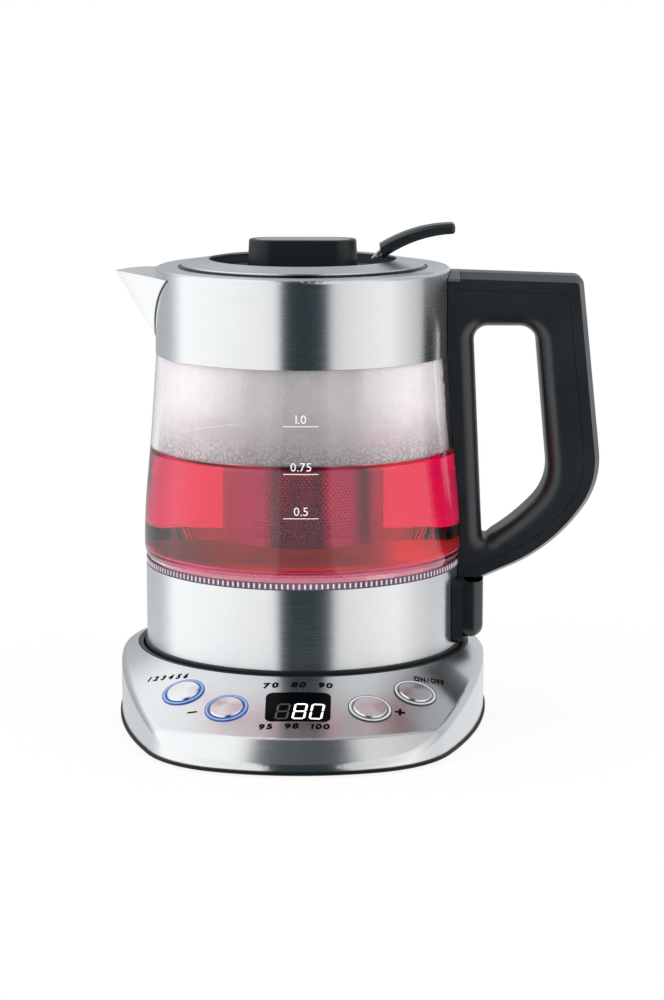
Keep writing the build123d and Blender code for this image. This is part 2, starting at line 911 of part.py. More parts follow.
for side, names in {"left": ("program", "minus"), "right": ("plus", "power")}.items():
    with BuildPart() as ring_lenses:
        for name in names:
            face = panel_plane(*controls[name])
            with BuildSketch(face.offset(-ring_depth)):
                Circle(ring_outer)
            extrude(amount=ring_depth + ring_proud)
            with BuildSketch(face.offset(-ring_flange_depth)):
                Circle(ring_outer + ring_flange)
            extrude(amount=-ring_flange_thickness)
            with BuildSketch(face):
                Circle(ring_bore)
            extrude(amount=2 * ring_depth, both=True, mode=Mode.SUBTRACT)
    keep(ring_lenses, f"ring_lenses_{side}")

for name, (radius, angle) in controls.items():
    face = panel_plane(radius, angle)
    point, depth = board_point(face)
    flange_top = ring_depth + lift_gap
    tilt_room = nub_radius * face.z_dir.get_angle(board_plane.z_dir) * pi / 180
    nub_end = depth - switch_height - switch_pip_height - button_travel - tilt_room - fit_gap
    with BuildPart() as button:
        with BuildSketch(face.offset(-cap_depth)):
            Circle(cap_radius)
        extrude(amount=cap_depth + cap_proud)
        chamfer(button.faces().sort_by(Axis(face.origin, face.z_dir))[-1].edges(), cap_bevel)
        with BuildSketch(face.offset(-cap_depth - slide_gap)):
            Circle(plunger_radius)
        extrude(amount=-(flange_top - cap_depth - slide_gap))
        with BuildSketch(face.offset(-flange_top)):
            Circle(plunger_flange_radius)
        extrude(amount=-plunger_flange_thickness)
        with BuildSketch(face.offset(-flange_top)):
            Circle(nub_radius)
        extrude(amount=-(nub_end - flange_top))
    keep(button, f"button_{name}")

with BuildPart() as power_board:
    with BuildSketch(Plane.XY.offset(power_board_bottom)):
        with Locations((0, power_board_y)):
            Rectangle(power_board_width, power_board_length)
    extrude(amount=board_thickness)
keep(power_board, "power_board")

with BuildPart() as relay:
    with BuildSketch(Plane.XY.offset(power_board_top)):
        with Locations((0, power_board_y)):
            with Locations(relay_place):
                Rectangle(relay_size[0], relay_size[1])
    extrude(amount=relay_size[2])
    fillet(relay.edges().filter_by(Axis.Z), edge_break)
keep(relay, "relay")

with BuildPart() as transformer:
    with BuildSketch(Plane.XY.offset(power_board_top)):
        with Locations((0, power_board_y)):
            with Locations(transformer_place):
                Rectangle(transformer_size[0], transformer_size[1] - 2 * transformer_core)
    extrude(amount=transformer_size[2])
    with BuildSketch(Plane.XY.offset(power_board_top + transformer_core)):
        with Locations((0, power_board_y)):
            with Locations(transformer_place):
                Rectangle(transformer_size[0] - 2 * transformer_core, transformer_size[1])
    extrude(amount=transformer_size[2] - 2 * transformer_core)
keep(transformer, "transformer")

with BuildPart() as capacitors:
    with BuildSketch(Plane.XY.offset(power_board_top)):
        with Locations((0, power_board_y)):
            with Locations(capacitor_places):
                Circle(capacitor_radius)
    extrude(amount=capacitor_height)
    fillet(capacitors.faces().filter_by(Axis.Z).group_by(Axis.Z)[-1].edges(), capacitor_radius / 6)
keep(capacitors, "capacitors")

with BuildPart() as buzzer:
    with BuildSketch(Plane.XY.offset(power_board_top)):
        with Locations((0, power_board_y)):
            with Locations(buzzer_place):
                Circle(buzzer_radius)
    extrude(amount=buzzer_height)
    with BuildSketch(Plane.XY.offset(power_board_top + buzzer_height)):
        with Locations((0, power_board_y)):
            with Locations(buzzer_place):
                Circle(buzzer_radius / 5)
    extrude(amount=-buzzer_height / 4, mode=Mode.SUBTRACT)
keep(buzzer, "buzzer")

with BuildPart() as ribbon_cable:
    ribbon_start = board_centre_y + board_length / 2 - ribbon_thickness * 2
    ribbon_end = power_board_y - power_board_length / 2 + ribbon_thickness * 2
    ribbon_rise = board_height(ribbon_start) + ribbon_thickness
    ribbon_low = power_board_top + ribbon_thickness / 2 + fit_gap
    with BuildSketch(Plane.YZ.offset(ribbon_x - ribbon_width / 2)):
        with BuildLine():
            FilletPolyline(
                (ribbon_start, ribbon_rise),
                (ribbon_start + ribbon_width, ribbon_rise + ribbon_thickness),
                (ribbon_end - 2 * ribbon_width, ribbon_low),
                (ribbon_end, ribbon_low),
                radius=ribbon_width / 2,
            )
        trace(line_width=ribbon_thickness)
    extrude(amount=ribbon_width)
keep(ribbon_cable, "ribbon_cable")

skin_radius = base_radius - skin_inset
grommet_sag = skin_radius - sqrt(skin_radius**2 - grommet_flange**2)
inner_flange = skin_radius - skin - grommet_sag - lift_gap - grommet_flange_thickness
with BuildPart() as cord_grommet:
    with BuildSketch(Plane.XZ.offset(-inner_flange)):
        with Locations((0, grommet_height)):
            Circle(grommet_neck)
    extrude(amount=-(skin_radius + lift_gap + grommet_flange_thickness - inner_flange))
    for start in (skin_radius + lift_gap, inner_flange):
        with BuildSketch(Plane.XZ.offset(-start)):
            with Locations((0, grommet_height)):
                Circle(grommet_flange)
        extrude(amount=-grommet_flange_thickness)
    fillet(cord_grommet.faces().sort_by(Axis.Y)[-1].edges(), grommet_flange_thickness / 3)
    with BuildSketch(Plane.XZ):
        with Locations((0, grommet_height)):
            Circle(grommet_bore)
    extrude(amount=-2 * base_radius, mode=Mode.SUBTRACT)
keep(cord_grommet, "cord_grommet")

# ------------------------------------------------------------------ kettle: bottom and heater

post_screw_heights = [post_bottom + rise for rise in lower_screw_rises]
collar_screw_heights = [collar_top - drop for drop in upper_screw_drops]


def screw_bores(heights, radius, reach):
    """Bores along +X for the handle's screws, from the axis out to reach."""
    with BuildPart() as bores:
        with BuildSketch(Plane.YZ):
            with Locations([(0, height) for height in heights]):
                Circle(radius)
        extrude(amount=reach)
    return bores.part


with BuildPart() as lower_housing:
    revolve(
        half_section(
            [
                (housing_inner, kettle_foot_bottom),
                (kettle_foot_radius, kettle_foot_bottom),
                (kettle_foot_radius, kettle_foot_top),
                (housing_radius, kettle_foot_top),
                (housing_radius, light_ring_bottom),
                (housing_inner, light_ring_bottom),
                (housing_inner, ledge_top),
                (ledge_inner, ledge_top),
                (ledge_inner, heater_flange_bottom - fit_gap),
                (ledge_inner - rib_thickness, heater_flange_bottom - fit_gap),
                (ledge_inner - rib_thickness, ledge_bottom),
                (housing_inner, ledge_bottom),
            ]
        ),
        axis=Axis.Z,
    )
    with BuildSketch(Plane.XY.offset(kettle_plate_top + fit_gap)):
        with Locations([Rotation(0, 0, angle) * Pos(boss_place, 0, 0) for angle in boss_angles]):
            Circle(boss_radius)
    extrude(amount=heater_bottom - 2 * lift_gap - kettle_plate_top)
    with BuildSketch(Plane.XY.offset(kettle_plate_top)):
        with Locations([Rotation(0, 0, angle) * Pos(boss_place, 0, 0) for angle in boss_angles]):
            Circle(screw_shank + run_gap)
    extrude(amount=kettle_screw_length, mode=Mode.SUBTRACT)
    add(screw_bores(post_screw_heights, screw_hole, 2 * housing_radius), mode=Mode.SUBTRACT)
keep(lower_housing, "lower_housing")

with BuildPart() as lower_band:
    revolve(ring_section(band_radius - band_sheet, band_radius, band_bottom, band_top), axis=Axis.Z)
    add(screw_bores(post_screw_heights, screw_hole, 2 * band_radius), mode=Mode.SUBTRACT)
keep(lower_band, "lower_band")

with BuildPart() as kettle_bottom:
    plate_radius = kettle_foot_radius - kettle_plate
    revolve(
        half_section(
            [
                (kettle_plate_hole, kettle_seat),
                (plate_radius, kettle_seat),
                (plate_radius, kettle_foot_bottom - fit_gap / 2),
                (housing_inner - fit_gap, kettle_foot_bottom - fit_gap / 2),
                (housing_inner - fit_gap, kettle_plate_top),
                (kettle_plate_hole, kettle_plate_top),
            ]
        ),
        axis=Axis.Z,
    )
    with BuildSketch(Plane.XY.offset(kettle_seat)):
        with Locations([Rotation(0, 0, angle) * Pos(boss_place, 0, 0) for angle in boss_angles]):
            Circle(screw_hole)
    extrude(amount=kettle_plate_top - kettle_seat, mode=Mode.SUBTRACT)
    with BuildSketch(Plane.XY.offset(kettle_seat)):
        with Locations([Rotation(0, 0, angle) * Pos(boss_place, 0, 0) for angle in boss_angles]):
            Circle(head_recess)
    extrude(amount=screw_head_height + 2 * fit_gap, mode=Mode.SUBTRACT)
keep(kettle_bottom, "kettle_bottom")

socket_ceiling = tower_top + socket_clearance
socket_top = socket_ceiling + socket_roof
socket_bottom = kettle_plate_top + fit_gap
pin_top = socket_ceiling + pin_seat
with BuildPart() as kettle_connector:
    revolve(
        half_section(
            [
                (tower_radius + socket_gap, socket_bottom),
                (socket_radius, socket_bottom),
                (socket_radius, socket_top),
                (0, socket_top),
                (0, pin_top),
                (pin_radius + run_gap, pin_top),
                (pin_radius + run_gap, socket_ceiling),
                (blade_inner - run_gap, socket_ceiling),
                (blade_inner - run_gap, pin_top),
                (blade_outer + run_gap, pin_top),
                (blade_outer + run_gap, socket_ceiling),
                (tower_radius + socket_gap, socket_ceiling),
            ]
        ),
        axis=Axis.Z,
    )
keep(kettle_connector, "kettle_connector")

with BuildPart() as kettle_pins:
    pin_bottom = guard_bottom + guard_floor + lift_gap
    revolve(ring_section(0, pin_radius, pin_bottom, pin_top), axis=Axis.Z)
    fillet(kettle_pins.faces().sort_by(Axis.Z)[0].edges(), pin_radius / 2)
    blade_bottom = tower_top - groove_depth + lift_gap
    revolve(ring_section(blade_inner, blade_outer, blade_bottom, pin_top), axis=Axis.Z)
    with BuildSketch(Plane.XY.offset(socket_top)):
        with PolarLocations(terminal_place, contact_count):
            Rectangle(terminal_thickness, terminal_width)
    extrude(amount=terminal_height)
keep(kettle_pins, "kettle_pins")

with BuildPart() as light_ring:
    rib_points = []
    for index in range(2 * light_ring_ribs):
        turn = index * pi / light_ring_ribs
        radius = band_radius - light_ring_rib_depth * (index % 2)
        rib_points.append((radius * cos(turn), radius * sin(turn)))
    with BuildSketch(Plane.XY.offset(light_ring_bottom)):
        with BuildLine():
            Polyline(*rib_points, close=True)
        make_face()
        Circle(light_ring_inner, mode=Mode.SUBTRACT)
    extrude(amount=light_ring_height)
keep(light_ring, "light_ring")

with BuildPart() as led_board:
    led_board_inner = ledge_inner + fit_gap
    revolve(
        ring_section(led_board_inner, led_board_outer, ledge_top, ledge_top + led_board_thickness),
        axis=Axis.Z,
    )
    with BuildSketch(Plane.XY.offset(ledge_top + led_board_thickness)):
        with PolarLocations(led_radius, led_count):
            Rectangle(led_size, led_size)
    extrude(amount=led_size)
keep(led_board, "led_board")

with BuildPart() as heater_plate:
    revolve(
        half_section(
            [
                (0, heater_bottom),
                (heater_wall_radius, heater_bottom),
                (heater_wall_radius, heater_flange_bottom),
                (heater_flange_outer, heater_flange_bottom),
                (heater_flange_outer, lower_seal_bottom),
                (heater_wall_radius - heater_sheet, lower_seal_bottom),
                (heater_wall_radius - heater_sheet, heater_bottom + heater_sheet),
                (0, heater_bottom + heater_sheet),
            ]
        ),
        axis=Axis.Z,
    )
keep(heater_plate, "heater_plate")

with BuildPart() as heat_spreader:
    revolve(ring_section(0, spreader_radius, spreader_bottom, heater_bottom), axis=Axis.Z)
    fillet(heat_spreader.faces().sort_by(Axis.Z)[0].edges(), spreader_thickness / 2)
keep(heat_spreader, "heat_spreader")

with BuildPart() as heating_element:
    element_height = spreader_bottom - element_tube
    with BuildSketch(Plane.XZ):
        with Locations((element_radius, element_height)):
            Circle(element_tube)
    revolve(axis=Axis.Z, revolution_arc=element_arc)
    with BuildSketch(Plane.XY.offset(element_height)):
        for angle in (0, element_arc):
            with Locations(Rotation(0, 0, angle) * Pos(element_radius, 0, 0)):
                Circle(element_tail_radius)
    extrude(amount=-element_tail)
keep(heating_element, "heating_element")

with BuildPart() as temperature_sensor:
    with BuildSketch(Plane.XY.offset(spreader_bottom)):
        with Locations((0, sensor_y)):
            Circle(sensor_radius)
    extrude(amount=-sensor_length)
keep(temperature_sensor, "temperature_sensor")

with BuildPart() as thermal_cutouts:
    with BuildSketch(Plane.XY.offset(spreader_bottom)):
        with Locations((-cutout_x, cutout_y), (cutout_x, cutout_y)):
            Rectangle(cutout_size[0], cutout_size[1])
    extrude(amount=-cutout_size[2])
    fillet(thermal_cutouts.edges().filter_by(Axis.Z), 2 * edge_break)
keep(thermal_cutouts, "thermal_cutouts")

# ------------------------------------------------------------------ kettle: glass, collar and spout

with BuildPart() as glass_body:
    with BuildSketch(Plane.XZ):
        with BuildLine():
            outside = glass_line(0)
            inside = glass_line(-glass_wall)
            TangentArc(outside @ 0, (glass_heel_radius, glass_bottom), tangent=(0, -1))
            lip_top = glass_bottom + glass_floor
            lip_bend = (glass_belly_radius - glass_wall - glass_inner_round, lip_top)
            TangentArc(inside @ 0, lip_bend, tangent=(0, -1))
            Polyline(
                lip_bend,
                (glass_lip_inner, lip_top),
                (glass_lip_inner, glass_bottom),
                (glass_heel_radius, glass_bottom),
            )
            Polyline(
                outside @ 1,
                (glass_neck_radius, glass_shoulder),
                (glass_neck_radius, glass_neck_top),
                (glass_neck_radius - glass_neck_wall, glass_neck_top),
                (glass_neck_radius - glass_neck_wall, glass_shoulder),
                inside @ 1,
            )
        make_face()
    revolve(axis=Axis.Z)
keep(glass_body, "glass_body")

with BuildPart() as glass_seal:
    revolve(
        half_section(
            [
                (lower_seal_inner, lower_seal_bottom),
                (heater_flange_outer, lower_seal_bottom),
                (heater_flange_outer, glass_bottom),
                (glass_lip_inner - fit_gap, glass_bottom),
                (glass_lip_inner - fit_gap, glass_bottom + lower_seal_height),
                (lower_seal_inner, glass_bottom + lower_seal_height),
            ]
        ),
        axis=Axis.Z,
    )
keep(glass_seal, "glass_seal")

with BuildPart() as upper_seal:
    neck_inner = glass_neck_radius - glass_neck_wall
    seal_bottom = glass_neck_top - glass_neck_height + 2 * seal_wall
    revolve(
        half_section(
            [
                (glass_neck_radius, seal_bottom),
                (glass_neck_radius + seal_lip, seal_bottom),
                (glass_neck_radius + seal_lip, glass_neck_top + seal_wall),
                (neck_inner - seal_wall, glass_neck_top + seal_wall),
                (neck_inner - seal_wall, seal_bottom),
                (neck_inner, seal_bottom),
                (neck_inner, glass_neck_top),
                (glass_neck_radius, glass_neck_top),
            ]
        ),
        axis=Axis.Z,
    )
keep(upper_seal, "upper_seal")


def spout_cone(inset):
    """Solid pyramid inside the spout's sheet, its faces moved inwards by inset."""
    tip = spout_tip - 2 * inset
    mid = spout_mid_half_width - inset
    half = spout_half_width - inset
    top = collar_top - spout_top_drop
    with BuildSketch(Plane.XY.offset(top)) as lip:
        with BuildLine():
            ThreePointArc((-tip, 0), (-spout_mid_x, -mid), (-spout_root_x, -half))
            Line((-spout_root_x, -half), (-spout_root_x, half))
            ThreePointArc((-spout_root_x, half), (-spout_mid_x, mid), (-tip, 0))
        make_face()
        fillet(lip.vertices().sort_by(Axis.X)[0], spout_tip_round)
    with BuildPart() as cone:
        loft([lip.sketch, Vertex(-collar_radius + inset, 0, top - spout_depth + 3 * inset)])
    return cone.part


def lip_arch():
    """Prism across the spout whose upper face is the arched lip."""
    with BuildPart() as arch:
        with BuildSketch(Plane.XZ):
            with BuildLine():
                lip = ThreePointArc(
                    (-spout_tip, collar_top - spout_tip_drop),
                    (-(spout_tip + spout_root_x) / 2, collar_top - spout_mid_drop),
                    (-spout_root_x, collar_top - spout_root_drop),
                )
                low = collar_top - spout_top_drop - spout_depth
                Polyline(lip @ 1, (-spout_root_x, low), (-spout_tip, low), lip @ 0)
            make_face()
        extrude(amount=spout_half_width, both=True)
    return arch.part


def spout_mouth():
    """Opening that the collar has behind the spout, inside the spout's sheet and below the lip."""
    with BuildPart() as mouth:
        add(spout_cone(spout_sheet))
        with BuildSketch():
            Rectangle(4 * collar_radius, 4 * collar_radius)
        extrude(amount=collar_top - mouth_drop, mode=Mode.INTERSECT)
    return mouth.part


with BuildPart() as spout:
    add(spout_cone(0))
    add(spout_cone(spout_sheet), mode=Mode.SUBTRACT)
    add(lip_arch(), mode=Mode.INTERSECT)
    with BuildSketch():
        Circle(collar_radius)
    extrude(amount=2 * collar_top, mode=Mode.SUBTRACT)
keep(spout, "spout")

with BuildPart() as collar:
    outer_line = [
        (collar_radius, collar_bottom),
        (collar_radius, collar_top - collar_round),
        (collar_radius - collar_round, collar_top),
        (collar_opening, collar_top),
    ]
    inner_round = collar_round - collar_sheet
    inner_line = [
        (collar_opening, collar_top - collar_sheet),
        (collar_radius - collar_round, collar_top - collar_sheet),
        (collar_radius - collar_sheet, collar_top - collar_round),
        (collar_radius - collar_sheet, collar_bottom),
    ]
    with BuildSketch(Plane.XZ):
        with BuildLine():
            Line(outer_line[0], outer_line[1])
            RadiusArc(outer_line[1], outer_line[2], -collar_round)
            Polyline(outer_line[2], outer_line[3], inner_line[0], inner_line[1])
            RadiusArc(inner_line[1], inner_line[2], inner_round)
            Polyline(inner_line[2], inner_line[3], outer_line[0])
        make_face()
    revolve(axis=Axis.Z)
    add(spout_mouth(), mode=Mode.SUBTRACT)
    add(screw_bores(collar_screw_heights, screw_hole, 2 * collar_radius), mode=Mode.SUBTRACT)
keep(collar, "collar")

with BuildPart() as collar_liner:
    revolve(
        half_section(
            [
                (liner_radius - liner_wall, liner_bottom),
                (liner_radius, liner_bottom),
                (liner_radius, collar_top - collar_round - liner_wall / 2),
                (liner_radius - collar_round, liner_top),
                (liner_flange_inner, liner_top),
                (liner_flange_inner, liner_top - liner_flange_thickness),
                (liner_radius - liner_wall, liner_top - liner_flange_thickness),
            ]
        ),
        axis=Axis.Z,
    )
    slot_middle = collar_top - pour_slot_drop - pour_slot_height / 2
    first_slot = spout_heading - pour_slot_pitch * (pour_slot_count - 1) / 2
    for index in range(pour_slot_count):
        slot_plane = Plane.YZ.rotated((0, 0, first_slot + index * pour_slot_pitch))
        with BuildSketch(slot_plane):
            with Locations((0, slot_middle)):
                SlotOverall(pour_slot_height, pour_slot_width, rotation=90)
        extrude(amount=2 * collar_radius, mode=Mode.SUBTRACT)
    add(screw_bores(collar_screw_heights, screw_hole, 2 * collar_radius), mode=Mode.SUBTRACT)
keep(collar_liner, "collar_liner")

# ------------------------------------------------------------------ handle

handle_envelope_cut = kettle_envelope(handle_clearance)


def heading_normal(heading):
    """Unit vector to the right of a heading in degrees."""
    return Vector(sin(radians(heading)), -cos(radians(heading)))


def handle_outline(inset):
    """Region inside the handle's outer outline, moved inwards by inset and closed on the axis."""
    start = Vector(*handle_start)
    corner = Vector(*handle_corner)
    top_normal = heading_normal(Vector(1, 0).get_signed_angle(corner - start))
    back_normal = heading_normal(handle_back_heading)
    share = inset / (1 + top_normal.dot(back_normal))
    start = start + top_normal * inset
    shifted_corner = corner + (top_normal + back_normal) * share
    back_end = corner + back_normal * inset
    back_end = back_end + Vector(back_normal.Y * -1, back_normal.X) * handle_back_length
    with BuildSketch(Plane.XZ) as outline:
        with BuildLine():
            Polyline((0, start.Y), start, shifted_corner, back_end)
            bend = JernArc(
                back_end, Vector(-back_normal.Y, back_normal.X), handle_bend_radius - inset, -handle_bend_turn
            )
            curve = JernArc(bend @ 1, bend % 1, handle_sweep_radius - inset, -handle_sweep_turn)
            tail = Line(curve @ 1, (curve @ 1) + (curve % 1) * handle_tail)
            Polyline(tail @ 1, (0, (tail @ 1).Y), (0, start.Y))
        make_face()
        corner_vertex = outline.vertices().sort_by_distance((shifted_corner.X, shifted_corner.Y))[0]
        fillet(corner_vertex, max(handle_corner_round - inset, edge_break))
    return outline.sketch


def finger_hole(grow):
    """Finger hole of the handle, made larger all round by grow."""
    top_left = Vector(hole_top_left_x, hole_top)
    top_right = Vector(hole_top_right_x, hole_top)
    bottom_left = Vector(hole_bottom_left_x, hole_top - hole_height)
    with BuildSketch(Plane.XZ) as hole:
        with BuildLine():
            top = Line(top_left, top_right)
            back = PolarLine(top @ 1, hole_back_length, hole_back_heading)
            bend = JernArc(back @ 1, back % 1, hole_bend_radius, -hole_bend_turn)
            curve = JernArc(bend @ 1, bend % 1, hole_sweep_radius, -hole_sweep_turn)
            Polyline(curve @ 1, bottom_left, top_left)
        make_face()
        for point, radius in (
            (top_left, hole_left_round),
            (top_right, hole_right_round),
            (bottom_left, hole_bottom_round),
        ):
            fillet(hole.vertices().sort_by_distance((point.X, point.Y))[0], radius)
        if grow:
            offset(amount=grow)
    return hole.sketch


loop_end_height = min(vertex.Z for vertex in handle_outline(0).vertices())
joint_height = loop_end_height + foot_joint_rise


def top_block_section(gap):
    """Section of the small block between the collar and the handle, made larger by gap."""
    with BuildSketch(Plane.XZ) as block:
        with Locations((0, handle_start[1] - top_block_height - gap)):
            Rectangle(top_block_x + gap, top_block_height + 2 * gap + fit_gap, align=(Align.MIN, Align.MIN))
    return block.sketch


def cover_section(gap):
    """Section of the handle's outer cover, made larger on its inner side by gap."""
    with BuildSketch(Plane.XZ) as band:
        add(handle_outline(0))
        add(handle_outline(cover_depth + gap), mode=Mode.SUBTRACT)
        with Locations((0, loop_end_height)):
            Rectangle(cover_end_x - gap, hole_height / 2, align=(Align.MIN, Align.MIN), mode=Mode.SUBTRACT)
        with Locations((0, hole_top)):
            Rectangle(cover_start_x - gap, hole_height / 2, align=(Align.MIN, Align.MIN), mode=Mode.SUBTRACT)
        add(top_block_section(gap or seam_gap), mode=Mode.SUBTRACT)
        low = band.vertices().filter_by(lambda vertex: vertex.Y < hole_top / 2)
        ends = low.filter_by(lambda vertex: vertex.X < cover_end_x + seam_gap)
        fillet(ends, cover_end_round + gap)
    return band.sketch


def handle_block(inner_section):
    """Extrude a handle section to the handle's full width."""
    with BuildPart() as block:
        extrude(inner_section, amount=handle_half_width, both=True)
    return block.part


with BuildPart() as handle_cover:
    add(handle_block(handle_outline(0)))
    for side in (-1, 1):
        flank = handle_cover.faces().filter_by(Axis.Y).sort_by(Axis.Y)[-1 if side > 0 else 0]
        chamfer(flank.edges(), length=cover_bevel, length2=cover_bevel_side, reference=flank)
    add(handle_block(cover_section(0)), mode=Mode.INTERSECT)
    with BuildSketch(Plane.XZ):
        add(handle_outline(cover_wall))
        Rectangle(cover_end_x + cover_wall, 2 * collar_top, align=(Align.MIN, Align.MIN), mode=Mode.SUBTRACT)
        add(handle_outline(cover_depth + cover_wall), mode=Mode.SUBTRACT)
    extrude(amount=cover_pocket_half_width, both=True, mode=Mode.SUBTRACT)
    add(handle_envelope_cut, mode=Mode.SUBTRACT)
keep(handle_cover, "handle_cover")

with BuildPart() as handle_body:
    with BuildSketch(Plane.XZ) as body_section:
        add(handle_outline(0))
        add(cover_section(seam_gap), mode=Mode.SUBTRACT)
        add(top_block_section(seam_gap), mode=Mode.SUBTRACT)
        Rectangle(2 * handle_corner_x, 2 * (joint_height + seam_gap), mode=Mode.SUBTRACT)
        add(finger_hole(0), mode=Mode.SUBTRACT)
    extrude(amount=handle_half_width, both=True)
    flanks = handle_body.faces().filter_by(Axis.Y)
    inner_wires = ShapeList([wire for flank in flanks for wire in flank.inner_wires()])
    fillet(inner_wires.edges(), grip_round)
    with BuildSketch(Plane.XZ):
        add(handle_outline(cover_depth))
        add(finger_hole(body_wall), mode=Mode.SUBTRACT)
        Rectangle(2 * body_pocket_x, 4 * collar_top, mode=Mode.SUBTRACT)
    extrude(amount=body_pocket_half_width, both=True, mode=Mode.SUBTRACT)
    add(handle_envelope_cut, mode=Mode.SUBTRACT)
    add(screw_bores(collar_screw_heights, screw_shank + run_gap, body_pocket_x), mode=Mode.SUBTRACT)
keep(handle_body, "handle_body")

with BuildPart() as handle_foot:
    with BuildSketch(Plane.XZ) as foot_section:
        with Locations((0, post_bottom)):
            Rectangle(post_x, joint_height - post_bottom, align=(Align.MIN, Align.MIN))
        fillet(foot_section.vertices().group_by(Axis.Y)[0].sort_by(Axis.X)[-1], post_bottom_round)
        add(cover_section(seam_gap), mode=Mode.SUBTRACT)
    extrude(amount=handle_half_width, both=True)
    foot_edges = handle_foot.faces().filter_by(Axis.Y).edges()
    fillet(foot_edges.filter_by(lambda edge: edge.center().X > post_x - 2 * fit_gap), foot_round)
    with BuildSketch(Plane.YZ):
        with Locations((0, (post_bottom + joint_height) / 2)):
            RectangleRounded(2 * saddle_half_width, joint_height - post_bottom, saddle_round)
    extrude(amount=saddle_x)
    add(handle_block(cover_section(seam_gap)), mode=Mode.SUBTRACT)
    add(handle_envelope_cut, mode=Mode.SUBTRACT)
    add(screw_bores(post_screw_heights, screw_shank + run_gap, post_x - body_wall), mode=Mode.SUBTRACT)
keep(handle_foot, "handle_foot")

with BuildPart() as handle_top_block:
    add(handle_block(top_block_section(0)))
    upper = handle_top_block.faces().sort_by(Axis.Z)[-1]
    for edge in upper.edges().filter_by(Axis.X):
        chamfer(edge, length=cover_bevel_side, length2=cover_bevel, reference=upper)
    add(handle_envelope_cut, mode=Mode.SUBTRACT)
keep(handle_top_block, "handle_top_block")

with BuildPart() as kettle_screws:
    for angle in boss_angles:
        upright = screw(kettle_screw_length).rotate(Axis.X, 180)
        place = Vector(boss_place, 0).rotate(Axis.Z, angle)
        add(upright.translate((place.X, place.Y, kettle_seat + fit_gap)))
    sideways = screw(handle_screw_length).rotate(Axis.Y, -90)
    for height in post_screw_heights:
        add(sideways.translate((housing_inner - fit_gap - screw_head_height, 0, height)))
    for height in collar_screw_heights:
        add(sideways.translate((liner_radius - liner_wall - fit_gap - screw_head_height, 0, height)))
keep(kettle_screws, "kettle_screws")

# ------------------------------------------------------------------ lid

with BuildPart() as lid_ring:
    revolve(
        half_section(
            [
                (lid_hole, collar_top + lid_rise - lid_sheet),
                (lid_flat_radius - lid_sheet / 4, collar_top + lid_flat_rise - lid_sheet),
                (lid_radius - lid_sheet, collar_top - lid_sheet / 2),
                (lid_radius - lid_sheet, lid_rest),
                (lid_radius, lid_rest),
                (lid_radius, collar_top),
                (lid_flat_radius, collar_top + lid_flat_rise),
                (lid_hole, collar_top + lid_rise),
            ]
        ),
        axis=Axis.Z,
    )
keep(lid_ring, "lid_ring")


def lid_underside(radius):
    """Height of the carrier's upper face below the sloping lid ring."""
    slope = (lid_rise - lid_flat_rise) / (lid_flat_radius - lid_hole)
    return collar_top + lid_rise - (radius - lid_hole) * slope - lid_sheet - 2 * fit_gap


with BuildPart() as lid_carrier:
    carrier_step = lid_flat_radius - 3 * fit_gap
    shoulder_bottom = lid_underside(carrier_step) - carrier_shoulder
    revolve(
        half_section(
            [
                (carrier_ledge_inner, carrier_bottom),
                (carrier_radius, carrier_bottom),
                (carrier_radius, shoulder_bottom),
                (carrier_step, shoulder_bottom),
                (carrier_step, lid_underside(carrier_step)),
                (carrier_bore, lid_underside(carrier_bore)),
                (carrier_bore, carrier_ledge_top),
                (carrier_ledge_inner, carrier_ledge_top),
            ]
        ),
        axis=Axis.Z,
    )
keep(lid_carrier, "lid_carrier")

with BuildPart() as lid_seal:
    seal_top = shoulder_bottom - fit_gap
    revolve(
        half_section(
            [
                (carrier_radius, seal_top - lid_seal_height),
                (lid_seal_radius, seal_top - lid_seal_height / 2),
                (lid_seal_radius, seal_top),
                (carrier_radius, seal_top),
            ]
        ),
        axis=Axis.Z,
    )
keep(lid_seal, "lid_seal")

# ------------------------------------------------------------------ infuser

shoulder_radius = carrier_ledge_inner - lift_gap - fit_gap
sleeve_radius = basket_radius + fit_gap + funnel_wall
with BuildPart() as infuser_rim:
    revolve(
        half_section(
            [
                (rim_bore, rim_top),
                (rim_radius, rim_top),
                (rim_radius, rim_bottom),
                (shoulder_radius, rim_bottom),
                (shoulder_radius, rim_bottom - funnel_shoulder),
                (sleeve_radius, sleeve_top),
                (sleeve_radius, sleeve_top - sleeve_height),
                (basket_radius + fit_gap, sleeve_top - sleeve_height),
                (basket_radius + fit_gap, sleeve_top + funnel_wall),
                (rim_ledge_inner, rim_bottom - funnel_shoulder + funnel_wall),
                (rim_ledge_inner, rim_ledge_top),
                (rim_bore, rim_ledge_top),
            ]
        ),
        axis=Axis.Z,
    )
    fillet(infuser_rim.faces().sort_by(Axis.Z)[-1].edges(), edge_break)
keep(infuser_rim, "infuser_rim")

basket_top = sleeve_top + funnel_wall / 2
with BuildPart() as infuser_basket:
    basket_bottom = basket_top - basket_length
    revolve(
        half_section(
            [
                (0, basket_bottom),
                (basket_radius, basket_bottom),
                (basket_radius, basket_top),
                (basket_radius - basket_sheet, basket_top),
                (basket_radius - basket_sheet, basket_bottom + basket_sheet),
                (0, basket_bottom + basket_sheet),
            ]
        ),
        axis=Axis.Z,
    )
keep(infuser_basket, "infuser_basket")


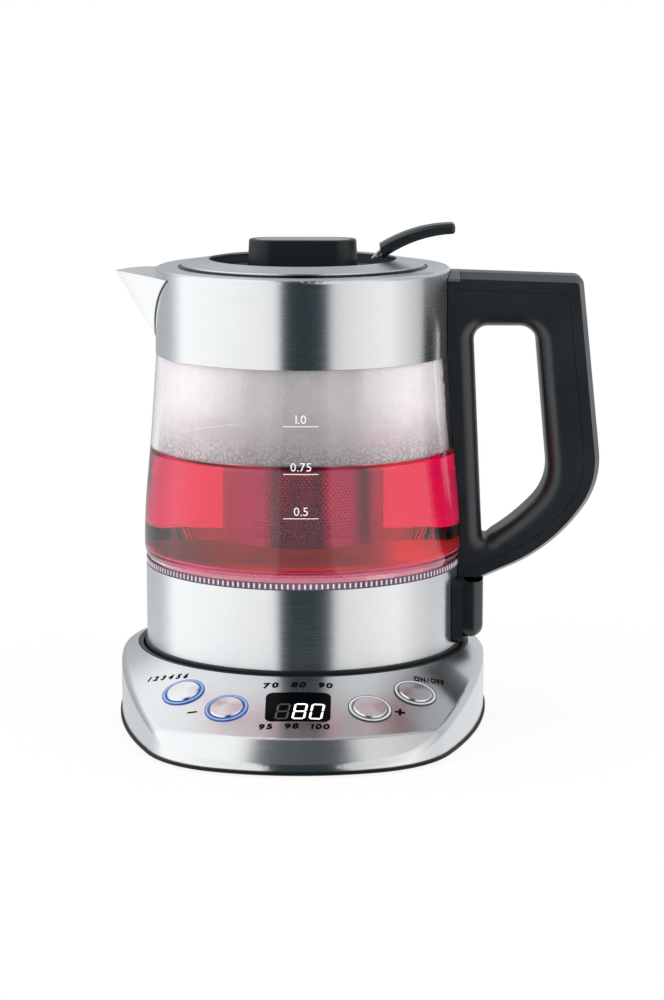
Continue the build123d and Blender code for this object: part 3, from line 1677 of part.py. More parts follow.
def strap_section(grow):
    """Side view of the strap from the rim's funnel up into the lever."""
    flat = sqrt(rim_ledge_inner**2 - (strap_width / 2) ** 2)
    foot_x = flat - strap_thickness / 2 - fit_gap
    with BuildSketch(Plane.XZ) as strap:
        with BuildLine():
            FilletPolyline(
                (foot_x, rim_bottom - funnel_shoulder + funnel_wall + strap_thickness),
                (foot_x, rim_ledge_top),
                (strap_bend_x, collar_top + strap_bend_rise),
                (strap_bend_x, collar_top + strap_turn_rise),
                (strap_end_x, collar_top + strap_end_rise),
                radius=strap_thickness,
            )
        trace(line_width=strap_thickness + 2 * grow)
    return strap.sketch


with BuildPart() as infuser_strap:
    extrude(strap_section(0), amount=strap_width / 2, both=True)
keep(infuser_strap, "infuser_strap")

with BuildPart() as infuser_lever:
    with BuildSketch(Plane.XZ):
        with BuildLine():
            upper = Spline(
                (lever_root_x, collar_top + lever_root_rise),
                (lever_arch_x, collar_top + lever_arch_rise),
                (lever_reach, collar_top + lever_tip_rise),
            )
            lower = Spline(
                (lever_reach, collar_top + lever_tip_rise - lever_tip_thickness),
                (lever_belly_x, collar_top + lever_belly_rise),
                (lever_heel_x, collar_top + lever_heel_rise),
            )
            Line(upper @ 1, lower @ 0)
            Line(lower @ 1, upper @ 0)
        tip = make_face().vertices().group_by(Axis.X)[-1]
        fillet(tip, lever_tip_round)
    extrude(amount=lever_half_width, both=True)
    top_face = infuser_lever.faces().filter_by(Axis.Y, reverse=True).sort_by(SortBy.AREA)[-2:]
    long_edges = top_face.sort_by(Axis.Z)[-1].edges().group_by(SortBy.LENGTH)[-1]
    chamfer(long_edges, lever_bevel)
    extrude(strap_section(fit_gap / 2), amount=strap_width / 2 + fit_gap, both=True, mode=Mode.SUBTRACT)
keep(infuser_lever, "infuser_lever")

with BuildPart() as infuser_cover:
    revolve(ring_section(0, rim_bore - lift_gap, disc_bottom, disc_top), axis=Axis.Z)
    fillet(infuser_cover.faces().sort_by(Axis.Z)[-1].edges(), edge_break)
    with BuildSketch(Plane.XY.offset(disc_bottom)):
        with Locations((cover_notch_x, 0)):
            Rectangle(rim_bore, cover_notch_width, align=(Align.MIN, Align.CENTER))
    extrude(amount=cover_disc, mode=Mode.SUBTRACT)
    with BuildSketch(Plane.XY.offset(disc_bottom)):
        with Locations((-knob_boss_x, 0), (knob_boss_x, 0)):
            Circle(screw_hole)
    extrude(amount=cover_disc, mode=Mode.SUBTRACT)
keep(infuser_cover, "infuser_cover")

with BuildPart() as knob:
    knob_bottom = disc_top + fit_gap
    shrink = 2 * (knob_height - fit_gap) * tan(radians(knob_taper))
    top_length = knob_length - shrink
    top_width = knob_width - shrink
    with BuildSketch(Plane.XY.offset(knob_bottom)):
        SlotOverall(knob_length, knob_width)
    extrude(amount=knob_height - fit_gap, taper=knob_taper)
    fillet(knob.faces().sort_by(Axis.Z)[-1].edges(), knob_edge)
    with BuildSketch(Plane.XY.offset(knob_top)):
        SlotOverall(top_length - 2 * knob_cap_inset, top_width - 2 * knob_cap_inset)
    extrude(amount=-knob_cap_thickness - fit_gap, mode=Mode.SUBTRACT)
    with BuildSketch(Plane.XY.offset(knob_bottom)):
        SlotOverall(top_length - 2 * knob_wall, top_width - 2 * knob_wall)
        with Locations((-knob_boss_x, 0), (knob_boss_x, 0)):
            Circle(knob_boss_radius, mode=Mode.SUBTRACT)
    extrude(amount=knob_height - knob_cap_thickness - knob_wall, mode=Mode.SUBTRACT)
    with BuildSketch(Plane.XY.offset(knob_bottom)):
        with Locations((-knob_boss_x, 0), (knob_boss_x, 0)):
            Circle(screw_shank + run_gap)
    extrude(amount=knob_screw_length, mode=Mode.SUBTRACT)
keep(knob, "knob")

with BuildPart() as knob_cap:
    with BuildSketch(Plane.XY.offset(knob_top - knob_cap_thickness)):
        SlotOverall(
            top_length - 2 * knob_cap_inset - 2 * fit_gap, top_width - 2 * knob_cap_inset - 2 * fit_gap
        )
    extrude(amount=knob_cap_thickness)
keep(knob_cap, "knob_cap")

with BuildPart() as knob_screws:
    for side in (-1, 1):
        upright = screw(knob_screw_length).rotate(Axis.X, 180)
        add(upright.translate((side * knob_boss_x, 0, disc_bottom - fit_gap - screw_head_height)))
keep(knob_screws, "knob_screws")
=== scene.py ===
import math

import bmesh
import bpy
from mathutils import Matrix, Vector


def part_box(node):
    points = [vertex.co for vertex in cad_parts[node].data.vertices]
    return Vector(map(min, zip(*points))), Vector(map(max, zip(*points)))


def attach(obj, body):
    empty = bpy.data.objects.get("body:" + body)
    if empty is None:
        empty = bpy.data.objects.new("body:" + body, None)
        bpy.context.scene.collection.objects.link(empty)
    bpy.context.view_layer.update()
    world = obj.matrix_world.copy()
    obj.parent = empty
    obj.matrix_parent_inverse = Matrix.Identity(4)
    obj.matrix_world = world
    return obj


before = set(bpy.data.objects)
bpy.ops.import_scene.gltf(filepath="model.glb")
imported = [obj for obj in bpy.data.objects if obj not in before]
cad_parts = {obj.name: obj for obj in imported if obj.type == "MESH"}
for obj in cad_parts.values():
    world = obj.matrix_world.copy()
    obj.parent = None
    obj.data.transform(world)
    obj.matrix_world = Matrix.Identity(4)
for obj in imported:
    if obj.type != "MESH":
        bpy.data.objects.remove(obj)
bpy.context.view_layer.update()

MM = 0.001
scene = bpy.context.scene

# The sloping panel falls from its upper rim. Each control: distance from the axis in mm, degrees from -Y.
PANEL_RIM, PANEL_HEIGHT, PANEL_SLOPE = 74.5 * MM, 30.0 * MM, math.radians(22.0)
CONTROLS = {
    "program": (90.6, -33.1),
    "minus": (97.35, -18.1),
    "plus": (97.35, 18.1),
    "power": (90.6, 33.1),
}


def panel_height(radius):
    """Height of the panel's surface at a distance from the kettle's axis."""
    return PANEL_HEIGHT - (radius - PANEL_RIM) * math.tan(PANEL_SLOPE)


def panel_axis(place):
    """Point on the panel and the direction square to it."""
    radius, turn = place[0] * MM, math.radians(place[1])
    lean = math.sin(PANEL_SLOPE)
    centre = (radius * math.sin(turn), -radius * math.cos(turn), panel_height(radius))
    return centre, (lean * math.sin(turn), -lean * math.cos(turn), math.cos(PANEL_SLOPE))


# ---------------------------------------------------------------- node helpers


class Nodes:
    """A node tree and short calls that add nodes to it."""

    def __init__(self, tree):
        self.tree = tree
        tree.nodes.clear()

    def add(self, kind, inputs=None, **settings):
        """Add a node; an input that is a socket is linked, any other is set as its value."""
        node = self.tree.nodes.new("ShaderNode" + kind)
        for key, value in settings.items():
            setattr(node, key, value)
        for key, value in (inputs or {}).items():
            if isinstance(value, bpy.types.NodeSocket):
                self.tree.links.new(value, node.inputs[key])
            else:
                node.inputs[key].default_value = value
        return node

    def calc(self, operation, a, b=0.0, c=0.0):
        return self.add("Math", {0: a, 1: b, 2: c}, operation=operation).outputs[0]

    def ramp(self, value, low, high, to_low=0.0, to_high=1.0):
        """Map a value from low..high to to_low..to_high and hold it there beyond both ends."""
        limits = {"Value": value, "From Min": low, "From Max": high, "To Min": to_low, "To Max": to_high}
        return self.add("MapRange", limits).outputs["Result"]

    def mix(self, factor, a, b):
        return self.add("Mix", {0: factor, 6: a, 7: b}, data_type="RGBA").outputs[2]

    def mix_shader(self, factor, a, b):
        return self.add("MixShader", {0: factor, 1: a, 2: b}).outputs[0]

    def split(self, vector):
        return self.add("SeparateXYZ", {0: vector}).outputs[:]

    def stretch(self, values, scales):
        """Vector of three values, each with its own scale."""
        scaled = [self.calc("MULTIPLY", value, scale) for value, scale in zip(values, scales)]
        return self.add("CombineXYZ", dict(enumerate(scaled))).outputs[0]

    def hypot(self, a, b):
        squares = self.calc("ADD", self.calc("MULTIPLY", a, a), self.calc("MULTIPLY", b, b))
        return self.calc("SQRT", squares)

    def length(self, vector):
        return self.add("VectorMath", {0: vector}, operation="LENGTH").outputs["Value"]


class Shader(Nodes):
    """A material with its own node tree."""

    def __init__(self, name):
        self.material = bpy.data.materials.new(name)
        self.material.use_nodes = True
        super().__init__(self.material.node_tree)
        self.output = self.add("OutputMaterial")

    def position(self):
        return self.add("TexCoord").outputs["Object"]

    def noise(self, vector, scale=1.0, detail=4.0, roughness=0.55):
        settings = {"Vector": vector, "Scale": scale, "Detail": detail, "Roughness": roughness}
        return self.add("TexNoise", settings).outputs["Fac"]

    def bump(self, height, distance, strength=1.0):
        settings = {"Height": height, "Distance": distance, "Strength": strength}
        return self.add("Bump", settings).outputs[0]

    def principled(self, **inputs):
        """Principled surface; a name such as Base_Color stands for the socket Base Color."""
        named = {key.replace("_", " "): value for key, value in inputs.items()}
        return self.add("BsdfPrincipled", named).outputs[0]

    def from_axis(self, place):
        """Distance from the axis of a control that stands square on the sloping panel."""
        centre, normal = panel_axis(place)
        offset = self.add("VectorMath", {0: self.position(), 1: centre}, operation="SUBTRACT").outputs[0]
        across = self.add("VectorMath", {0: offset, 1: normal}, operation="CROSS_PRODUCT").outputs[0]
        return self.length(across)

    def lets_light(self, surface, tint):
        """Glass that lamps and soft light pass straight through, tinted."""
        path = self.add("LightPath")
        soft = self.calc("MAXIMUM", path.outputs["Is Shadow Ray"], path.outputs["Is Diffuse Ray"])
        gap = self.add("BsdfTransparent", {"Color": tint}).outputs[0]
        return self.mix_shader(soft, surface, gap)

    def finish(self, surface, volume=None):
        self.tree.links.new(surface, self.output.inputs["Surface"])
        if volume:
            self.tree.links.new(volume, self.output.inputs["Volume"])
        return self.material


def shade(colour, factor):
    """The colour made lighter or darker, as RGBA."""
    return tuple(min(1.0, channel * factor) for channel in colour[:3]) + (1.0,)


# ---------------------------------------------------------------- materials

# brushed grain, in noise cells per metre: across its lines, and along x and y
GRAIN = 5200.0
GRAIN_SIDEWAYS = (22.0, 8.0, GRAIN)
GRAIN_AROUND = (24.0, 24.0, GRAIN)
GRAIN_SPUN = (GRAIN, 1.0, 1.0)
BLACK = (0.0, 0.0, 0.0, 1.0)
WHITE = (1.0, 1.0, 1.0, 1.0)
# near black, for painted shade in crevices and grooves of metal
PAINTED_CREVICE_SHADE = (0.03, 0.035, 0.04, 1.0)


def brushed_metal(
    name,
    colour,
    grain="around",
    roughness=0.3,
    anisotropic=0.75,
    depth=0.008 * MM,
    contrast=0.06,
    place=None,
    dark=None,
):
    """Steel or aluminium with a brushed grain.

    The grain runs round the kettle's axis, sideways, or spun round the axis of the control at place.
    dark(shader, position) gives 1 where painted shade blackens a crevice or groove and 0 where the metal
    shows.
    """
    s = Shader(name)
    position = s.position()
    x, y, z = s.split(position)
    if grain == "sideways":
        normal = s.add("NewGeometry").outputs["Normal"]
        flat = s.calc("GREATER_THAN", s.split(normal)[2], 0.3)
        lines = s.stretch((x, y, s.calc("MULTIPLY_ADD", y, flat, z)), GRAIN_SIDEWAYS)
    elif grain == "spun":
        lines = s.stretch((s.from_axis(place), 0.0, 0.0), GRAIN_SPUN)
    else:
        lines = s.stretch((x, y, s.calc("ADD", s.hypot(x, y), z)), GRAIN_AROUND)
    fine = s.noise(lines, 1.0, 3.0, 0.7)
    broad = s.noise(position, 18.0, 2.0)
    tone = s.calc("ADD", s.calc("MULTIPLY", fine, 0.85), s.calc("MULTIPLY", broad, 0.15))
    base = s.mix(s.ramp(tone, 0.25, 0.75), shade(colour, 1 - contrast), shade(colour, 1 + contrast))
    if dark:
        # painted shade: the metal turns near black in a crevice or groove
        base = s.mix(dark(s, position), base, PAINTED_CREVICE_SHADE)
    surface = s.principled(
        Base_Color=base,
        Metallic=1.0,
        Roughness=s.ramp(tone, 0.2, 0.8, roughness - 0.04, roughness + 0.05),
        Anisotropic=anisotropic,
        Anisotropic_Rotation=0.25,
        Tangent=s.add("Tangent", direction_type="RADIAL", axis="Z").outputs[0],
        Normal=s.bump(fine, depth),
    )
    return s.finish(surface)


def plastic(name, colour, roughness, grain=2600.0, depth=0.02 * MM, specular=0.4):
    """Moulded plastic or rubber with a fine spark-eroded grain and a little handling shine."""
    s = Shader(name)
    position = s.position()
    fine = s.noise(position, grain, 2.0)
    smudge = s.noise(position, 35.0, 3.0)
    surface = s.principled(
        Base_Color=s.mix(s.ramp(fine, 0.3, 0.7), shade(colour, 0.82), shade(colour, 1.15)),
        Roughness=s.ramp(smudge, 0.3, 0.7, roughness - 0.05, roughness + 0.06),
        Specular_IOR_Level=specular,
        Normal=s.bump(fine, depth, 0.6),
    )
    return s.finish(surface)


def clear(name, colour, ior, waviness):
    """Glass with a very slight unevenness."""
    s = Shader(name)
    wave = s.noise(s.position(), 60.0, 2.0)
    surface = s.principled(
        Base_Color=s.mix(wave, shade(colour, 0.985), colour),
        Roughness=0.0,
        IOR=ior,
        Transmission_Weight=1.0,
        Normal=s.bump(wave, waviness),
    )
    return s.finish(s.lets_light(surface, shade(colour, 0.96)))


def board(name, colour):
    """Circuit board: lacquer over faint tracks."""
    s = Shader(name)
    tracks = {
        "Vector": s.position(),
        "Scale": 260.0,
        "Mortar Size": 0.04,
        "Color1": shade(colour, 0.8),
        "Color2": shade(colour, 1.3),
        "Mortar": shade(colour, 1.9),
    }
    cells = s.add("TexBrick", tracks)
    surface = s.principled(
        Base_Color=cells.outputs["Color"], Roughness=0.3, Normal=s.bump(cells.outputs["Fac"], 0.03 * MM)
    )
    return s.finish(surface)


def glow(name, colour, strength, dark):
    """Lit plastic: its light is a little uneven; dark is the plastic's own colour."""
    s = Shader(name)
    patches = s.noise(s.position(), 220.0, 2.0)
    lit = s.mix(s.ramp(patches, 0.3, 0.7), shade(colour, 0.8), colour)
    surface = s.principled(Base_Color=dark, Roughness=0.2, Emission_Color=lit, Emission_Strength=strength)
    return s.finish(surface)


def banded(name, controls, rim, middle, inner, strength):
    """Clear plastic rings round two buttons: bands of colour from the bore to the rim of each."""
    inner_end, middle_start, middle_end, rim_start = 8.05 * MM, 8.35 * MM, 8.75 * MM, 9.0 * MM
    s = Shader(name)
    first, second = (s.from_axis(CONTROLS[control]) for control in controls)
    radius = s.calc("MINIMUM", first, second)
    speck = s.noise(s.position(), 900.0, 2.0)
    edge = s.calc("ADD", radius, s.calc("MULTIPLY", s.calc("SUBTRACT", speck, 0.5), 0.12 * MM))
    near = s.mix(s.ramp(edge, inner_end, middle_start), inner, middle)
    colour = s.mix(s.ramp(edge, middle_end, rim_start), near, rim)
    surface = s.principled(
        Base_Color=colour,
        Roughness=s.ramp(speck, 0.3, 0.7, 0.16, 0.24),
        Emission_Color=colour,
        Emission_Strength=strength,
    )
    return s.finish(surface)


def ribbed_light():
    """Ribbed clear ring: a row of lit dots with dark gaps that take the tea's colour."""
    s = Shader("ring_lit")
    ribs, height = 180.0, 2.9 * MM
    position = s.position()
    x, y, z = s.split(position)
    wave = s.calc("COSINE", s.calc("MULTIPLY", s.calc("ARCTAN2", y, x), ribs))
    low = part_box("light_ring")[0][2]
    rise = s.ramp(z, low, low + height)
    edge = s.calc("MULTIPLY", s.ramp(rise, 0.1, 0.25), s.ramp(rise, 0.98, 0.8))
    dot = s.calc("MULTIPLY", s.ramp(wave, 0.25, 0.85), edge)
    light = s.mix(s.noise(position, 300.0, 2.0), (0.62, 0.60, 0.66, 1.0), (0.86, 0.84, 0.88, 1.0))
    colour = s.mix(dot, (0.15, 0.085, 0.13, 1.0), light)
    surface = s.principled(
        Base_Color=colour,
        Roughness=0.25,
        Emission_Color=colour,
        Emission_Strength=s.ramp(dot, 0.0, 1.0, 0.03, 0.16),
    )
    return s.finish(surface)


def spout_crevice_shade(s, position):
    """1 in the painted shade of the crevice where the spout meets the collar, 0 away from it."""
    top_radius, dark_until, clear_from = 65.3 * MM, 0.35 * MM, 0.8 * MM
    x, y, z = s.split(position)
    low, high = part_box("collar")
    wall = s.ramp(z, low[2], high[2], high[1], top_radius)
    return s.ramp(s.calc("SUBTRACT", s.hypot(x, y), wall), dark_until, clear_from, 1.0, 0.0)


def lid_groove_shade(s, position):
    """1 in the painted shade of the groove round the lid ring, 0 inside it."""
    clear_until, dark_from = 53.5 * MM, 53.8 * MM
    x, y, _ = s.split(position)
    return s.ramp(s.hypot(x, y), clear_until, dark_from)


def perforated():
    """Strainer sheet: rows of small round holes, each row offset by half a pitch, and a painted shadow down
    its front.
    """
    s = Shader("steel_perforated")
    tube_radius, pitch, row_share = 27 * MM, 1.5 * MM, 0.866
    holes_bottom, holes_top, hole_radius = 82 * MM, 171 * MM, 0.27
    shadow_x, shadow_full, shadow_end = -1.2 * MM, 8.5 * MM, 13 * MM
    position = s.position()
    x, y, z = s.split(position)
    turns = s.calc("MULTIPLY", s.calc("ARCTAN2", y, x), tube_radius / pitch)
    row = s.calc("DIVIDE", z, pitch * row_share)
    odd = s.calc("MULTIPLY", s.calc("MODULO", s.calc("ABSOLUTE", s.calc("FLOOR", row)), 2.0), 0.5)
    across = s.calc("SUBTRACT", s.calc("FRACT", s.calc("ADD", turns, odd)), 0.5)
    along = s.calc("MULTIPLY", s.calc("SUBTRACT", s.calc("FRACT", row), 0.5), row_share)
    distance = s.hypot(across, along)
    hole = s.calc("LESS_THAN", distance, hole_radius)
    tall = s.calc("MULTIPLY", s.calc("GREATER_THAN", z, holes_bottom), s.calc("LESS_THAN", z, holes_top))
    # painted shadow: a dark band down the front (-y) of the sheet
    side = s.calc("ABSOLUTE", s.calc("SUBTRACT", x, shadow_x))
    shadow_band = s.ramp(side, shadow_full, shadow_end, 1.0, 0.0)
    shadow = s.calc("MULTIPLY", shadow_band, s.calc("LESS_THAN", y, 0.0))
    base = s.mix(s.noise(position, 900.0, 3.0), (0.56, 0.56, 0.56, 1.0), (0.7, 0.7, 0.7, 1.0))
    metal = s.principled(
        Base_Color=s.mix(shadow, base, (0.13, 0.14, 0.17, 1.0)),
        Metallic=1.0,
        Roughness=0.34,
        Alpha=s.calc("SUBTRACT", 1.0, s.calc("MULTIPLY", hole, tall)),
        Normal=s.bump(s.ramp(distance, 0.2, 0.34), 0.03 * MM),
    )
    return s.finish(metal)


STEEL = (0.80, 0.81, 0.82, 1.0)
steel = brushed_metal("steel_brushed_round", STEEL, roughness=0.26, anisotropic=0.9, depth=0.005 * MM)
steel_sheet = brushed_metal(
    "steel_brushed_sideways", STEEL, "sideways", roughness=0.2, anisotropic=0.92, depth=0.004 * MM
)
steel_spout = brushed_metal(
    "steel_spout",
    (0.86, 0.87, 0.88, 1.0),
    "sideways",
    roughness=0.3,
    anisotropic=0.1,
    depth=0.003 * MM,
    contrast=0.03,
    dark=spout_crevice_shade,
)
steel_plain = brushed_metal("steel_plain", (0.78, 0.78, 0.79, 1.0), anisotropic=0.2)
steel_lid = brushed_metal("steel_lid", (0.74, 0.75, 0.76, 1.0), roughness=0.28, anisotropic=0.6, dark=lid_groove_shade)
chrome = brushed_metal(
    "chrome_strap",
    (0.85, 0.86, 0.87, 1.0),
    "sideways",
    roughness=0.1,
    anisotropic=0.2,
    depth=0.002 * MM,
    contrast=0.02,
)
spun = {
    control: brushed_metal(
        "spun_" + control,
        (0.88, 0.89, 0.91, 1.0),
        "spun",
        roughness=0.26,
        anisotropic=0.8,
        depth=0.004 * MM,
        contrast=0.05,
        place=place,
    )
    for control, place in CONTROLS.items()
}
zinc = brushed_metal("zinc_plated", (0.66, 0.67, 0.64, 1.0), roughness=0.35, anisotropic=0.0)
aluminium = brushed_metal("aluminium_plain", (0.75, 0.75, 0.76, 1.0), roughness=0.4, anisotropic=0.0)
brass = brushed_metal("brass", (0.80, 0.62, 0.28, 1.0), anisotropic=0.0)

black = plastic("black_plastic", (0.010, 0.0135, 0.016, 1.0), 0.36)
pan_black = plastic("pan_black", (0.004, 0.005, 0.006, 1.0), 0.5, specular=0.2)
handle_black = plastic(
    "handle_black", (0.0085, 0.0125, 0.0155, 1.0), 0.34, grain=3200.0, depth=0.025 * MM, specular=0.8
)
block_grey = plastic("block_grey", (0.10, 0.11, 0.12, 1.0), 0.34, grain=3200.0)
lid_black = plastic("lid_black", (0.024, 0.032, 0.042, 1.0), 0.3, specular=0.5)
grey_cap = plastic("grey_cap", (0.24, 0.25, 0.27, 1.0), 0.36)
window_black = plastic(
    "window_black", (0.0012, 0.0014, 0.0018, 1.0), 0.15, grain=900.0, depth=0.0005 * MM, specular=0.05
)
rubber = plastic("rubber_black", (0.018, 0.018, 0.018, 1.0), 0.7, grain=1800.0, depth=0.04 * MM, specular=0.2)
silicone = plastic("silicone_pale", (0.62, 0.63, 0.64, 1.0), 0.5, grain=1500.0, specular=0.3)
ivory = plastic("plastic_pale", (0.72, 0.71, 0.67, 1.0), 0.45)
phenolic = plastic("phenolic_brown", (0.22, 0.09, 0.04, 1.0), 0.5)
relay_blue = plastic("relay_blue", (0.02, 0.06, 0.28, 1.0), 0.35)
tape_yellow = plastic("transformer_tape", (0.62, 0.48, 0.08, 1.0), 0.45)
sleeve_dark = plastic("capacitor_sleeve", (0.015, 0.015, 0.05, 1.0), 0.25)
ribbon_grey = plastic("ribbon_grey", (0.45, 0.45, 0.46, 1.0), 0.5)

pcb = board("board_green", (0.015, 0.09, 0.035, 1.0))
pcb_white = board("board_white", (0.6, 0.6, 0.58, 1.0))
glass = clear("glass_clear", (0.985, 0.99, 0.992, 1.0), ior=1.47, waviness=0.004 * MM)
basket_steel = perforated()

ring_lit = ribbed_light()
# painted glow: the glass seal shines pink as though the light ring's light ran through its silicone
seal_painted_glow = glow("silicone_painted_glow", (1.0, 0.42, 0.55, 1.0), strength=0.22, dark=(0.6, 0.25, 0.32, 1.0))
digit_lit = glow("digit_lit", (0.95, 0.97, 1.0, 1.0), strength=1.1, dark=(0.8, 0.8, 0.8, 1.0))
digit_dim = glow("digit_dim", (0.30, 0.31, 0.34, 1.0), strength=0.12, dark=(0.03, 0.03, 0.035, 1.0))
lens_clear = banded(
    "lens_clear",
    ("plus", "power"),
    rim=(0.05, 0.055, 0.06, 1.0),
    middle=(0.8, 0.82, 0.85, 1.0),
    inner=(0.25, 0.27, 0.29, 1.0),
    strength=0.0,
)
lens_blue = banded(
    "lens_blue",
    ("program", "minus"),
    rim=(0.02, 0.10, 0.42, 1.0),
    middle=(0.34, 0.42, 0.56, 1.0),
    inner=(0.02, 0.12, 0.50, 1.0),
    strength=0.12,
)

LOOKS = {
    # power base
    "base_shell": steel_sheet, "base_bottom": pan_black, "foot_ring": rubber, "base_dish": black,
    "base_connector": black, "connector_contacts": brass, "connector_guard": ivory,
    "display_window": window_black, "display_module": ivory, "panel_frame": black,
    "control_board": pcb, "tact_switches": black, "ribbon_cable": ribbon_grey,
    "ring_lenses_left": lens_blue, "ring_lenses_right": lens_clear,
    "button_program": spun["program"], "button_minus": spun["minus"],
    "button_plus": spun["plus"], "button_power": spun["power"],
    "power_board": pcb, "relay": relay_blue, "transformer": tape_yellow, "capacitors": sleeve_dark,
    "buzzer": black, "cord_grommet": rubber, "base_screws": zinc,
    # kettle
    "collar": steel, "spout": steel_spout, "collar_liner": lid_black, "upper_seal": silicone,
    "glass_body": glass, "glass_seal": seal_painted_glow, "light_ring": ring_lit, "led_board": pcb_white,
    "lower_band": steel, "lower_housing": black, "heater_plate": steel_plain,
    "heat_spreader": aluminium, "heating_element": aluminium, "temperature_sensor": steel_plain,
    "thermal_cutouts": phenolic, "kettle_bottom": black, "kettle_connector": black,
    "kettle_pins": brass, "kettle_screws": zinc, "handle_body": handle_black,
    "handle_cover": handle_black, "handle_foot": handle_black, "handle_top_block": block_grey,
    # lid and infuser
    "lid_ring": steel_lid, "lid_carrier": lid_black, "lid_seal": silicone,
    "infuser_rim": lid_black, "infuser_basket": basket_steel, "infuser_strap": chrome,
    "infuser_lever": handle_black, "infuser_cover": lid_black, "knob": black,
    "knob_cap": grey_cap, "knob_screws": zinc,
}
for node, look in LOOKS.items():
    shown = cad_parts[node]
    if not shown.data.materials:
        shown.data.materials.append(look)
    for slot in shown.material_slots:
        slot.material = look


# ---------------------------------------------------------------- mesh helpers


def new_object(name, mesh, material, body, smooth=False):
    """Link a mesh as a piece that rides on a body."""
    piece = bpy.data.objects.new(name, mesh)
    scene.collection.objects.link(piece)
    mesh.materials.append(material)
    if smooth:
        for polygon in mesh.polygons:
            polygon.use_smooth = True
    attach(piece, body)


def to_mesh(name, shape):
    """Turn a bmesh into a mesh and free it."""
    mesh = bpy.data.meshes.new(name)
    shape.to_mesh(mesh)
    shape.free()
    return mesh


def lathe(name, profile, segments=192):
    """Closed surface of revolution round Z from (radius, height) points in metres."""
    shape = bmesh.new()
    angles = [2 * math.pi * index / segments for index in range(segments)]
    rings = []
    for radius, height in profile:
        if radius < 1e-7:
            rings.append([shape.verts.new((0, 0, height))])
            continue
        rings.append([shape.verts.new((radius * math.cos(a), radius * math.sin(a), height)) for a in angles])
    pairs = list(zip(rings, rings[1:])) + ([] if len(rings[0]) == 1 else [(rings[-1], rings[0])])
    for low, high in pairs:
        for index in range(segments):
            after = (index + 1) % segments
            corners = []
            for ring, place in ((low, index), (low, after), (high, after), (high, index)):
                vertex = ring[place if len(ring) > 1 else 0]
                if vertex not in corners:
                    corners.append(vertex)
            if len(corners) > 2:
                shape.faces.new(corners)
    bmesh.ops.recalc_face_normals(shape, faces=shape.faces)
    return to_mesh(name, shape)


def measure_wall():
    """Height, inner and outer radius of the glass at steps of height, by rays at its mesh."""
    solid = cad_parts["glass_body"]
    depsgraph = bpy.context.evaluated_depsgraph_get()
    low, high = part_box("glass_body")
    rows = []
    steps, margin, span, bearing, beyond = 90, 0.002, 0.996, 0.8, 0.2
    direction = Vector((math.cos(bearing), math.sin(bearing), 0))
    for index in range(steps + 1):
        height = low[2] + (high[2] - low[2]) * (margin + span * index / steps)
        start = Vector((0, 0, height))
        hit_in, inner, _, _ = solid.ray_cast(start, direction, depsgraph=depsgraph)
        hit_out, outer, _, _ = solid.ray_cast(start + direction * beyond, -direction, depsgraph=depsgraph)
        if hit_in and hit_out:
            rows.append((height, inner.xy.length, outer.xy.length))
    return rows


WALL = measure_wall()


def glass_radius(height, inside):
    """Radius of the glass's inner or outer surface at a height."""
    column = 1 if inside else 2
    for low, high in zip(WALL, WALL[1:]):
        if low[0] <= height <= high[0]:
            share = (height - low[0]) / (high[0] - low[0])
            return low[column] + (high[column] - low[column]) * share
    return WALL[-1][column]


# ---------------------------------------------------------------- tea, and the mist above it

TEA_LEVEL = 118.5 * MM
# the tea's surface lies a little inside the solids that it touches, so that no gap of air shows
WET = 0.05 * MM
GLASS_WET = 0.15 * MM
HEATER_SHEET = 0.9 * MM
HEATER_EDGE = 60.15 * MM  # inner wall of the heater pan, 60.1 mm, with WET
GLASS_FLANGE = 2.0 * MM  # height of the glass's inward flange
MENISCUS = ((0.0, 0.7), (0.5, 0.25), (1.2, 0.06), (2.4, 0.0))  # mm in from the glass, mm above the level


def tea_mesh():
    """Tea from the heater up to its level, its side a little way inside the wall of the glass."""
    heater_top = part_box("heater_plate")[0][2] + HEATER_SHEET
    seal_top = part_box("glass_seal")[1][2]
    flange_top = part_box("glass_body")[0][2] + GLASS_FLANGE
    height = flange_top + 0.1 * MM
    profile = [
        (0, heater_top - WET),
        (HEATER_EDGE, heater_top - WET),
        (HEATER_EDGE, seal_top - WET),
        (glass_radius(height, True) + GLASS_WET, seal_top - WET),
    ]
    # steps of height: small ones where the glass curves in at its foot
    while height < TEA_LEVEL - 1.2 * MM:
        profile.append((glass_radius(height, True) + GLASS_WET, height))
        height += 0.4 * MM if height < flange_top + 4 * MM else 1.4 * MM
    edge = glass_radius(TEA_LEVEL, True) + GLASS_WET
    profile += [(edge - inward * MM, TEA_LEVEL + rise * MM) for inward, rise in MENISCUS]
    profile.append((0, TEA_LEVEL))
    return lathe("tea", profile)


def tea_look():
    """Clear red liquid: it absorbs all but the colour passed, and tint colours the light behind it."""
    passed, density, tint = (0.985, 0.0, 0.57, 1.0), 58.0, (0.95, 0.34, 0.46, 1.0)
    s = Shader("tea_red")
    ripple = s.noise(s.position(), 45.0, 2.0)
    surface = s.principled(
        Base_Color=s.mix(ripple, (0.99, 0.97, 0.97, 1.0), WHITE),
        Roughness=0.0,
        IOR=1.333,
        Transmission_Weight=1.0,
        Normal=s.bump(ripple, 0.01 * MM),
    )
    volume = s.add("VolumeAbsorption", {"Color": passed, "Density": density}).outputs[0]
    return s.finish(s.lets_light(surface, tint), volume)


def mist_mesh():
    """Thin skin inside the glass above the tea, where steam has condensed."""
    gap, thickness, steps = 0.05 * MM, 0.08 * MM, 26
    low, high = TEA_LEVEL + 1.2 * MM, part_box("glass_body")[1][2] - 5.8 * MM  # from the tea to the collar
    outer, inner = [], []
    for index in range(steps + 1):
        height = low + (high - low) * index / steps
        radius = glass_radius(height, True) - gap
        outer.append((radius, height))
        inner.append((radius - thickness, height))
    return lathe("mist", outer + inner[::-1])


